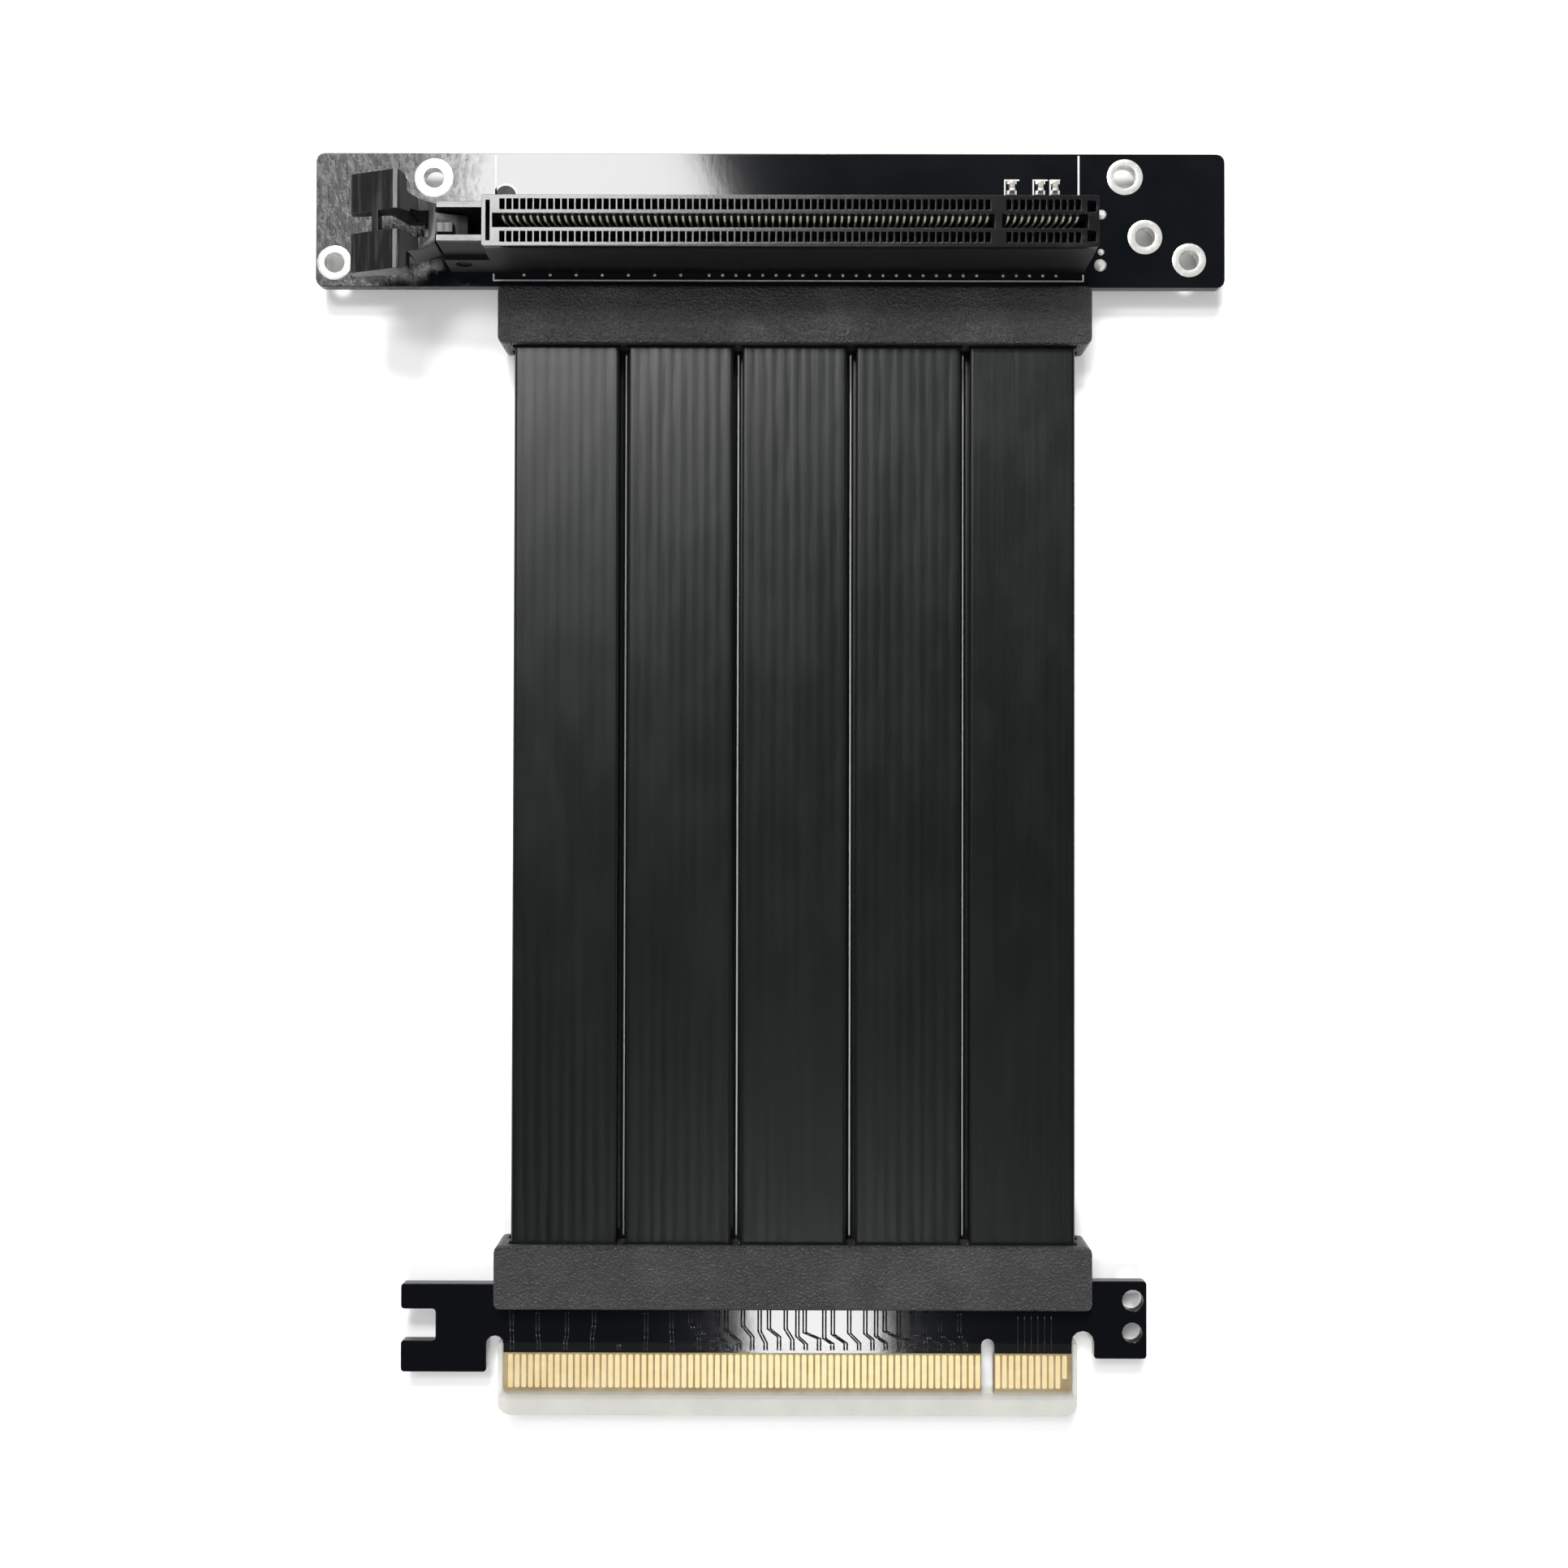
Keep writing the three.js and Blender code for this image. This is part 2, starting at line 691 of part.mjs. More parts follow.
function makeLatch() {
  const side = toSolid(
    extrudeAlongY(latchSide(), slotCentreY - latchWidth, slotCentreY + latchWidth),
  );
  const plan = toSolid(extrudeUp(latchPlan(), boardTop, slotTop + cutReach));
  const roofX = latchEndX + roofEndFromEnd;
  const paddleSplit = toSolid(
    block(
      latchEndX + paddleGapLength + paddleBridge,
      roofX,
      slotCentreY - paddleGap / 2,
      slotCentreY + paddleGap / 2,
      boardTop,
      slotTop + cutReach,
    ),
  );
  const deepWindow = toSolid(
    block(
      roofX - cutReach,
      latchNeckX - paddleBridge,
      slotCentreY - neckWindowHalfWidth,
      slotCentreY + neckWindowHalfWidth,
      boardTop + roofEndHeight - neckDepth + paddleBridge,
      slotTop + cutReach,
    ),
  );
  const hookX = slotLeftX - bracketLength;
  const hook = toSolid(
    block(
      hookX,
      hookX + hookLength,
      slotCentreY - tongueHalfWidth,
      slotCentreY - tongueHalfWidth + hookThickness,
      boardTop + roofEndHeight - hookRoot,
      boardTop + hookHeight,
    ),
  );
  let lever = side.intersect(plan).subtract(paddleSplit).subtract(deepWindow).add(hook);
  for (const sign of [-1, 1]) {
    const innerY = slotCentreY + sign * neckHalfWidthWide;
    const outerY = slotCentreY + sign * latchWidth;
    const underPaddle = block(
      latchEndX + ridgeFromEnd - ridgeFlat,
      latchEndX + paddleLength + cutReach,
      Math.min(innerY, outerY),
      Math.max(innerY, outerY),
      boardTop,
      boardTop + ridgeHeight - paddleRootDepth,
    );
    lever = lever.subtract(toSolid(underPaddle));
  }
  const pinned = lever.add(crossBar(pivotPinRadius, pivotPinReach));
  addPiece("slot_latch", toGeometry(pinned), leverPlastic);
}

// Ribbon layers and places
const ribbonHalf = ribbonThickness / 2;
const lowerRibbonWidth = ribbonPitch - lowerRibbonGap;
const ribbonLayers = [
  { label: "upper", width: ribbonWidth, middleZ: boardTop + ribbonToBoard + ribbonHalf },
  { label: "lower", width: lowerRibbonWidth, middleZ: boardBottom - ribbonToBoard - ribbonHalf },
];
const ribbonCentres = [];
for (let i = 0; i < ribbonCount; i += 1) {
  ribbonCentres.push(bootCentreX + (i - (ribbonCount - 1) / 2) * ribbonPitch);
}

// A boot between farY and nearY whose ribbons leave through the wall at mouthY
function bootBody(farY, nearY, mouthY) {
  const x0 = bootCentreX - bootWidth / 2;
  const x1 = bootCentreX + bootWidth / 2;
  const plan = rectangle(x0, x1, nearY, farY, bootPlanCorner);
  const section = rectangle(nearY, farY, 0, bootHeight, bootEdgeRadius);
  let boot = toSolid(extrudeUp(plan, 0, bootHeight)).intersect(
    toSolid(extrudeAlongX(section, x0 - cutReach, x1 + cutReach)),
  );
  const inward = Math.sign((farY + nearY) / 2 - mouthY);
  const wallY = mouthY + inward * bootMouthWall;
  const backY = (inward > 0 ? farY : nearY) - inward * bootBackWall;
  const room = ribbonThickness / 2 + fitGap;
  const chamberSide = Math.max(ribbonWidth, lowerRibbonWidth) / 2 + fitGap;
  const chamber = block(
    ribbonCentres[0] - chamberSide,
    ribbonCentres[ribbonCount - 1] + chamberSide,
    Math.min(wallY, backY),
    Math.max(wallY, backY),
    ribbonLayers[1].middleZ - room,
    ribbonLayers[0].middleZ + room,
  );
  boot = boot.subtract(toSolid(chamber));
  const mouthOut = mouthY - inward * cutReach;
  const mouthIn = wallY + inward * fitGap;
  for (const x of ribbonCentres) {
    for (const { width, middleZ } of ribbonLayers) {
      const slot = block(
        x - width / 2 - fitGap,
        x + width / 2 + fitGap,
        Math.min(mouthOut, mouthIn),
        Math.max(mouthOut, mouthIn),
        middleZ - room,
        middleZ + room,
      );
      boot = boot.subtract(toSolid(slot));
    }
  }
  return boot;
}

function makeBoots() {
  const slotTongue = block(
    tongueLeftX - fitGap,
    tongueRightX + fitGap,
    slotBootFarY - bootBackWall - fitGap,
    slotBootFarY + cutReach,
    boardBottom - fitGap,
    boardTop + fitGap,
  );
  const slotBoot = bootBody(slotBootFarY, slotBootNearY, slotBootNearY);
  addPiece("slot_boot", toGeometry(slotBoot.subtract(toSolid(slotTongue))), bootRubber);

  const shoulderY = tabEndY + Math.max(hookTabTop, holeTabTop) + fitGap;
  const plugSlot = block(
    bootCentreX - bootWidth,
    bootCentreX + bootWidth,
    plugBootNearY - cutReach,
    shoulderY,
    boardBottom - fitGap,
    boardTop + fitGap,
  );
  const plugBoot = bootBody(plugBootFarY, plugBootNearY, plugBootFarY);
  addPiece("plug_boot", toGeometry(plugBoot.subtract(toSolid(plugSlot))), bootRubber);
}

// Ribbon section with lengthwise ridges on both faces
function ribbonSection(centreX, width, middleZ, ridges) {
  const left = centreX - width / 2;
  const web = ribbonWeb / 2;
  if (ridges === 0) {
    const right = left + width;
    return rectangle(left, right, middleZ - ribbonHalf, middleZ + ribbonHalf, flatRibbonCorner);
  }
  const pitch = width / ridges;
  const upper = [];
  for (let i = 0; i <= ridges; i += 1) {
    upper.push([left + i * pitch, web]);
    if (i < ridges) upper.push([left + (i + 0.5) * pitch, ribbonHalf]);
  }
  const top = upper.map(([x, rise]) => [x, middleZ + rise]);
  const bottom = upper.reverse().map(([x, rise]) => [x, middleZ - rise]);
  return outline([...top, ...bottom]);
}

function makeRibbons() {
  const farY = slotBootFarY - bootBackWall - 2 * fitGap;
  const nearY = plugBootNearY + bootBackWall + 2 * fitGap;
  for (const { label, width, middleZ } of ribbonLayers) {
    ribbonCentres.forEach((x, i) => {
      const ridges = i === flatRibbon ? 0 : ribbonRidges;
      const section = ribbonSection(x, width, middleZ, ridges);
      addPiece(`ribbon_${label}_${i + 1}`, extrudeAlongY(section, nearY, farY), ribbonJacket);
    });
  }
}

function makeChips() {
  const y = slotBoardFarY - chipFromBoardEdge;
  chipCentres.forEach((x, i) => {
    const chip = block(
      x - chipWidth / 2,
      x + chipWidth / 2,
      y - chipLength / 2,
      y + chipLength / 2,
      boardTop,
      boardTop + chipHeight,
    );
    addPiece(`chip_part_${i + 1}`, chip, chipBody);
  });
}

makeSlotBoard();
makePlatedHoles();
makeSlotHousing();
makeContacts();
makeLatch();
makeBoots();
makeRibbons();
makePlugBoard();
makeFingers();
makeCover();
makeChips();

export default part;
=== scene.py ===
import random
from math import pi, radians, sin, sqrt, tau

import bmesh
import bpy
from mathutils import Matrix, Vector


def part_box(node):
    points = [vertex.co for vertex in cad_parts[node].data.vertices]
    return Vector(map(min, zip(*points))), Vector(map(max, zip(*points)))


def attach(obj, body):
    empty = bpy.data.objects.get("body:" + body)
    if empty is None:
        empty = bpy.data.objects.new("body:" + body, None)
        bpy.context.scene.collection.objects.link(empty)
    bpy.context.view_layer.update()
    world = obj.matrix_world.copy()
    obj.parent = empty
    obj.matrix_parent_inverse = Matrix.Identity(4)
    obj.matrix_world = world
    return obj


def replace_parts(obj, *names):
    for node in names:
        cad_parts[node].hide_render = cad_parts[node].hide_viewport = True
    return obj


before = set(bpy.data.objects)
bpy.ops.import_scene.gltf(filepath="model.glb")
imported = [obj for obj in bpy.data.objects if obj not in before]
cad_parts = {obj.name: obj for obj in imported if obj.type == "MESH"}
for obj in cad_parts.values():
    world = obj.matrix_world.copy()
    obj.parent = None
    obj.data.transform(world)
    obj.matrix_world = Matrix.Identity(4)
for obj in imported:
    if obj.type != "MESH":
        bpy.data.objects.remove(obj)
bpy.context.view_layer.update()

mm = 0.001
scene = bpy.context.scene
scene.view_settings.view_transform = "Standard"

# Camera: it looks straight down from about a forearm's height
cameraSettings = {
    "place": (2.6, -3.46, 238.7),      # mm
    "turn": (0.706, 0.076, 0.132),     # degrees
    "focalPixels": 1919,
    "imagePixels": 1932,
    "sensor": 36,
}


def makeCamera(settings):
    data = bpy.data.cameras.new("camera")
    data.sensor_width = settings["sensor"]
    data.lens = settings["sensor"] * settings["focalPixels"] / settings["imagePixels"]
    data.clip_start = 0.01
    camera = bpy.data.objects.new("camera", data)
    camera.location = [value * mm for value in settings["place"]]
    camera.rotation_euler = [radians(value) for value in settings["turn"]]
    scene.collection.objects.link(camera)
    scene.camera = camera


makeCamera(cameraSettings)
print("camera set")


# Materials

def node(tree, kind, values=None, **options):
    made = tree.nodes.new(kind)
    for name, value in options.items():
        setattr(made, name, value)
    for socket, value in (values or {}).items():
        made.inputs[socket].default_value = value
    return made


def link(tree, fromSocket, toSocket):
    tree.links.new(fromSocket, toSocket)


def newGroup(name, inputs, outputs):
    group = bpy.data.node_groups.new(name, "ShaderNodeTree")
    for label, kind, value in inputs:
        socket = group.interface.new_socket(name=label, in_out="INPUT", socket_type=kind)
        if value is not None:
            socket.default_value = value
    for label, kind in outputs:
        group.interface.new_socket(name=label, in_out="OUTPUT", socket_type=kind)
    return group, group.nodes.new("NodeGroupInput"), group.nodes.new("NodeGroupOutput")


# Uneven grain: a noise that can be stretched, as a height and as a mask between two levels
def makeGrainGroup():
    group, given, out = newGroup(
        "unevenGrain",
        [("Vector", "NodeSocketVector", None), ("Stretch", "NodeSocketVector", (1, 1, 1)),
         ("Scale", "NodeSocketFloat", 400), ("Low", "NodeSocketFloat", 0.35),
         ("High", "NodeSocketFloat", 0.65)],
        [("Height", "NodeSocketFloat"), ("Mask", "NodeSocketFloat")],
    )
    mapping = node(group, "ShaderNodeMapping")
    noise = node(group, "ShaderNodeTexNoise", {"Detail": 6, "Roughness": 0.6})
    spread = node(group, "ShaderNodeMapRange", interpolation_type="SMOOTHSTEP")
    link(group, given.outputs["Vector"], mapping.inputs["Vector"])
    link(group, given.outputs["Stretch"], mapping.inputs["Scale"])
    link(group, mapping.outputs["Vector"], noise.inputs["Vector"])
    link(group, given.outputs["Scale"], noise.inputs["Scale"])
    link(group, noise.outputs["Fac"], spread.inputs["Value"])
    link(group, given.outputs["Low"], spread.inputs["From Min"])
    link(group, given.outputs["High"], spread.inputs["From Max"])
    link(group, noise.outputs["Fac"], out.inputs["Height"])
    link(group, spread.outputs["Result"], out.inputs["Mask"])
    return group


# Leather pebbles: rounded cells with thin creases between them
def makePebbleGroup():
    group, given, out = newGroup(
        "leatherPebbles",
        [("Vector", "NodeSocketVector", None), ("Scale", "NodeSocketFloat", 1500)],
        [("Height", "NodeSocketFloat")],
    )
    cells = node(group, "ShaderNodeTexVoronoi", {"Smoothness": 0.6}, feature="SMOOTH_F1")
    noise = node(group, "ShaderNodeTexNoise", {"Detail": 5, "Roughness": 0.65})
    noiseShare = 0.7
    mix = node(group, "ShaderNodeMath", operation="MULTIPLY_ADD")
    mix.inputs[1].default_value = noiseShare
    link(group, given.outputs["Vector"], cells.inputs["Vector"])
    link(group, given.outputs["Vector"], noise.inputs["Vector"])
    link(group, given.outputs["Scale"], cells.inputs["Scale"])
    link(group, given.outputs["Scale"], noise.inputs["Scale"])
    link(group, noise.outputs["Fac"], mix.inputs[0])
    link(group, cells.outputs["Distance"], mix.inputs[2])
    link(group, mix.outputs["Value"], out.inputs["Height"])
    return group


# 1 where Y is below an edge, softened over a short width, within a span of X
def makeBelowGroup():
    group, given, out = newGroup(
        "belowEdge",
        [("Vector", "NodeSocketVector", None), ("Edge", "NodeSocketFloat", 0),
         ("Softness", "NodeSocketFloat", 0.0001), ("Centre", "NodeSocketFloat", 0),
         ("Half Span", "NodeSocketFloat", 1)],
        [("Mask", "NodeSocketFloat")],
    )
    within = node(group, "ShaderNodeMath", operation="COMPARE")
    both = node(group, "ShaderNodeMath", operation="MULTIPLY")
    split = node(group, "ShaderNodeSeparateXYZ")
    upper = node(group, "ShaderNodeMath", operation="ADD")
    spread = node(group, "ShaderNodeMapRange", {"To Min": 1, "To Max": 0})
    link(group, given.outputs["Vector"], split.inputs["Vector"])
    link(group, split.outputs["Y"], spread.inputs["Value"])
    link(group, given.outputs["Edge"], spread.inputs["From Min"])
    link(group, given.outputs["Edge"], upper.inputs[0])
    link(group, given.outputs["Softness"], upper.inputs[1])
    link(group, upper.outputs["Value"], spread.inputs["From Max"])
    link(group, split.outputs["X"], within.inputs[0])
    link(group, given.outputs["Centre"], within.inputs[1])
    link(group, given.outputs["Half Span"], within.inputs[2])
    link(group, spread.outputs["Result"], both.inputs[0])
    link(group, within.outputs["Value"], both.inputs[1])
    link(group, both.outputs["Value"], out.inputs["Mask"])
    return group


grainGroup = makeGrainGroup()
pebbleGroup = makePebbleGroup()
belowGroup = makeBelowGroup()


def newMaterial(name, **values):
    material = bpy.data.materials.new(name)
    material.use_nodes = True
    tree = material.node_tree
    shader = tree.nodes["Principled BSDF"]
    for socket, value in values.items():
        shader.inputs[socket.replace("_", " ")].default_value = value
    place = node(tree, "ShaderNodeTexCoord")
    return material, tree, shader, place.outputs["Object"]


def placeGroup(tree, group, vector, **values):
    made = node(tree, "ShaderNodeGroup", node_tree=group)
    for socket, value in values.items():
        made.inputs[socket].default_value = value
    link(tree, vector, made.inputs["Vector"])
    return made


def mixColours(tree, mask, first, second):
    mix = node(tree, "ShaderNodeMix", data_type="RGBA")
    mix.inputs["A"].default_value = (*first, 1)
    mix.inputs["B"].default_value = (*second, 1)
    link(tree, mask, mix.inputs["Factor"])
    return mix.outputs["Result"]


def spreadValue(tree, mask, low, high):
    spread = node(tree, "ShaderNodeMapRange", {"To Min": low, "To Max": high})
    link(tree, mask, spread.inputs["Value"])
    return spread.outputs["Result"]


def addBump(tree, shader, height, distance, strength=1.0):
    bump = node(tree, "ShaderNodeBump", {"Distance": distance, "Strength": strength})
    link(tree, height, bump.inputs["Height"])
    link(tree, bump.outputs["Normal"], shader.inputs["Normal"])


# Each finish has its values in a dict: a grain is the group's own inputs, colours run from dark to light,
# roughness from glossy to dull, and bump is a depth in metres with a strength

# Glossy solder mask: clean on the right, hazy and speckled towards its left end
maskSettings = {
    "specular": 0.55,
    "hazeFrom": -0.040,          # x in metres where the haze starts and where it is full
    "hazeTo": -0.058,
    "speckle": {"Stretch": (1, 0.45, 1), "Scale": 1100, "Low": 0.4, "High": 0.6},
    "clouds": {"Scale": 45, "Low": 0.3, "High": 0.7},
    "colours": ((0.004, 0.005, 0.006), (0.008, 0.009, 0.011)),
    "roughness": (0.08, 0.42),
    "bumpDepth": 0.00022,
    "cleanBump": 0.012,
    "hazyBump": 0.9,
}


def makeMaskFinish(settings):
    material, tree, shader, place = newMaterial("solderMask", Specular_IOR_Level=settings["specular"])
    speckle = placeGroup(tree, grainGroup, place, **settings["speckle"])
    mottle = node(tree, "ShaderNodeMath", operation="MULTIPLY")
    clouds = placeGroup(tree, grainGroup, place, **settings["clouds"])
    split = node(tree, "ShaderNodeSeparateXYZ")
    haze = node(tree, "ShaderNodeMapRange",
                {"From Min": settings["hazeFrom"], "From Max": settings["hazeTo"]})
    amount = node(tree, "ShaderNodeMath", operation="MULTIPLY_ADD")
    amount.inputs[1].default_value = settings["hazyBump"]
    amount.inputs[2].default_value = settings["cleanBump"]
    link(tree, place, split.inputs["Vector"])
    link(tree, split.outputs["X"], haze.inputs["Value"])
    link(tree, haze.outputs["Result"], amount.inputs[0])
    link(tree, mixColours(tree, clouds.outputs["Mask"], *settings["colours"]), shader.inputs["Base Color"])
    link(tree, haze.outputs["Result"], mottle.inputs[0])
    link(tree, speckle.outputs["Mask"], mottle.inputs[1])
    link(tree, spreadValue(tree, mottle.outputs["Value"], *settings["roughness"]),
         shader.inputs["Roughness"])
    bump = node(tree, "ShaderNodeBump", {"Distance": settings["bumpDepth"]})
    link(tree, amount.outputs["Value"], bump.inputs["Strength"])
    link(tree, speckle.outputs["Height"], bump.inputs["Height"])
    link(tree, bump.outputs["Normal"], shader.inputs["Normal"])
    return material


# The plug board is the same mask as far as the fingers, then bare laminate
plugFinishSettings = {
    "specular": 0.55,
    "maskEdgeFromEnd": 6.2,      # mm
    "edgeSoftness": 0.00008,
    "maskColour": (0.0035, 0.004, 0.005, 1),
    "clouds": {"Scale": 300, "Low": 0.3, "High": 0.7},
    "laminate": ((0.24, 0.17, 0.08), (0.36, 0.29, 0.16)),
    "roughness": (0.07, 0.6),
    "bump": (0.00002, 0.2),
}


def makePlugFinish(settings):
    material, tree, shader, place = newMaterial("plugBoard", Specular_IOR_Level=settings["specular"])
    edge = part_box("plug_board")[0].y + settings["maskEdgeFromEnd"] * mm
    tabLow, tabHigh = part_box("finger_cover")
    below = placeGroup(tree, belowGroup, place, Edge=edge, Softness=settings["edgeSoftness"])
    below.inputs["Centre"].default_value = (tabLow.x + tabHigh.x) / 2
    below.inputs["Half Span"].default_value = (tabHigh.x - tabLow.x) / 2
    clouds = placeGroup(tree, grainGroup, place, **settings["clouds"])
    bare = mixColours(tree, clouds.outputs["Mask"], *settings["laminate"])
    mix = node(tree, "ShaderNodeMix", data_type="RGBA")
    mix.inputs["A"].default_value = settings["maskColour"]
    link(tree, bare, mix.inputs["B"])
    link(tree, below.outputs["Mask"], mix.inputs["Factor"])
    link(tree, mix.outputs["Result"], shader.inputs["Base Color"])
    link(tree, spreadValue(tree, below.outputs["Mask"], *settings["roughness"]), shader.inputs["Roughness"])
    addBump(tree, shader, clouds.outputs["Height"], *settings["bump"])
    return material


# Moulded slot: glossier on its top face than on its walls
housingFinishSettings = {
    "specular": 0.6,
    "grain": {"Scale": 2200, "Low": 0.35, "High": 0.7},
    "wear": {"Stretch": (0.3, 1, 1), "Scale": 260, "Low": 0.55, "High": 0.75},
    "colours": ((0.005, 0.005, 0.0055), (0.014, 0.014, 0.015)),
    "roughness": (0.2, 0.3),
    "wallRoughness": 0.45,       # added on the walls
    "wallFullAt": 1.2,           # mm below the top face
    "wallEndsAt": 0.4,
    "bump": (0.00002, 0.5),
}


def makeHousingFinish(settings):
    material, tree, shader, place = newMaterial("slotPlastic", Specular_IOR_Level=settings["specular"])
    grain = placeGroup(tree, grainGroup, place, **settings["grain"])
    wear = placeGroup(tree, grainGroup, place, **settings["wear"])
    link(tree, mixColours(tree, wear.outputs["Mask"], *settings["colours"]), shader.inputs["Base Color"])
    split = node(tree, "ShaderNodeSeparateXYZ")
    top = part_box("slot_housing")[1].z
    wall = node(tree, "ShaderNodeMapRange",
                {"From Min": top - settings["wallFullAt"] * mm, "From Max": top - settings["wallEndsAt"] * mm,
                 "To Min": settings["wallRoughness"], "To Max": 0})
    rough = node(tree, "ShaderNodeMath", operation="ADD")
    link(tree, place, split.inputs["Vector"])
    link(tree, split.outputs["Z"], wall.inputs["Value"])
    link(tree, wall.outputs["Result"], rough.inputs[0])
    link(tree, spreadValue(tree, wear.outputs["Mask"], *settings["roughness"]), rough.inputs[1])
    link(tree, rough.outputs["Value"], shader.inputs["Roughness"])
    addBump(tree, shader, grain.outputs["Height"], *settings["bump"])
    return material


bootFinishSettings = {
    "specular": 0.8,
    "pebbleScale": 3300,
    "smudges": {"Scale": 75, "Low": 0.46, "High": 0.72},
    "colours": ((0.008, 0.0085, 0.0095), (0.026, 0.026, 0.027)),
    # the pebble height also scales the colour: painted shade in the creases, painted highlight on the pebble
    # tops
    "crease": {"From Min": 0.35, "From Max": 1.0, "To Min": 0.25, "To Max": 1.7},
    "creaseShare": 0.75,
    "roughness": (0.36, 0.46),
    "bump": (0.0003, 1.0),
}


def makeBootFinish(settings):
    material, tree, shader, place = newMaterial("bootRubber", Specular_IOR_Level=settings["specular"])
    pebbles = placeGroup(tree, pebbleGroup, place, Scale=settings["pebbleScale"])
    smudges = placeGroup(tree, grainGroup, place, **settings["smudges"])
    # colour times pebble height: painted shade in the creases and painted highlight on the pebble tops
    skin = node(tree, "ShaderNodeMix", data_type="RGBA", blend_type="MULTIPLY")
    skin.inputs["Factor"].default_value = settings["creaseShare"]
    link(tree, mixColours(tree, smudges.outputs["Mask"], *settings["colours"]), skin.inputs["A"])
    crease = node(tree, "ShaderNodeMapRange", settings["crease"])
    link(tree, pebbles.outputs["Height"], crease.inputs["Value"])
    link(tree, crease.outputs["Result"], skin.inputs["B"])
    link(tree, skin.outputs["Result"], shader.inputs["Base Color"])
    link(tree, spreadValue(tree, smudges.outputs["Mask"], *settings["roughness"]),
         shader.inputs["Roughness"])
    addBump(tree, shader, pebbles.outputs["Height"], *settings["bump"])
    return material


ribbonFinishSettings = {
    "specular": 0.42,
    "streaks": {"Stretch": (1, 0.02, 1), "Scale": 900, "Low": 0.3, "High": 0.75},
    "bruises": {"Stretch": (1, 0.4, 1), "Scale": 160, "Low": 0.4, "High": 0.65},
    "colours": ((0.003, 0.004, 0.0039), (0.0052, 0.0066, 0.0064)),
    "roughness": (0.32, 0.37),
    "bump": (0.00006, 0.5),
}


def makeRibbonFinish(settings):
    material, tree, shader, place = newMaterial("ribbonJacket", Specular_IOR_Level=settings["specular"])
    streaks = placeGroup(tree, grainGroup, place, **settings["streaks"])
    bruises = placeGroup(tree, grainGroup, place, **settings["bruises"])
    link(tree, mixColours(tree, streaks.outputs["Mask"], *settings["colours"]), shader.inputs["Base Color"])
    link(tree, spreadValue(tree, bruises.outputs["Mask"], *settings["roughness"]),
         shader.inputs["Roughness"])
    addBump(tree, shader, streaks.outputs["Height"], *settings["bump"])
    return material


# Frosted sleeve: thin over the fingers, and milkier at its sides and where it is solid past the board's end
coverFinishSettings = {
    "specular": 0.4,
    "solidFromBoard": 0.4,       # mm
    "solidSoftness": 0.0014,
    "sideInset": 0.6,            # mm
    "clearAlpha": 0.004,
    "solidAlpha": 0.6,
    "sideAlpha": 0.4,
    "clouds": {"Scale": 180, "Low": 0.3, "High": 0.7},
    "colours": ((0.6, 0.6, 0.56), (0.68, 0.67, 0.62)),
    "roughness": (0.35, 0.5),
    "bump": (0.00003, 0.4),
}


def makeCoverFinish(settings):
    material, tree, shader, place = newMaterial("coverFilm", Specular_IOR_Level=settings["specular"])
    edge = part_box("plug_board")[0].y - settings["solidFromBoard"] * mm
    solid = placeGroup(tree, belowGroup, place, Edge=edge, Softness=settings["solidSoftness"])
    clouds = placeGroup(tree, grainGroup, place, **settings["clouds"])
    link(tree, mixColours(tree, clouds.outputs["Mask"], *settings["colours"]), shader.inputs["Base Color"])
    low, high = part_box("finger_cover")
    pastThePart = 1
    inner = placeGroup(tree, belowGroup, place, Edge=pastThePart, Centre=(low.x + high.x) / 2)
    inner.inputs["Half Span"].default_value = (high.x - low.x) / 2 - settings["sideInset"] * mm
    alpha = node(tree, "ShaderNodeMath", operation="MAXIMUM")
    link(tree, spreadValue(tree, solid.outputs["Mask"], settings["clearAlpha"], settings["solidAlpha"]),
         alpha.inputs[0])
    link(tree, spreadValue(tree, inner.outputs["Mask"], settings["sideAlpha"], settings["clearAlpha"]),
         alpha.inputs[1])
    link(tree, alpha.outputs["Value"], shader.inputs["Alpha"])
    link(tree, spreadValue(tree, clouds.outputs["Mask"], *settings["roughness"]),
         shader.inputs["Roughness"])
    addBump(tree, shader, clouds.outputs["Height"], *settings["bump"])
    return material


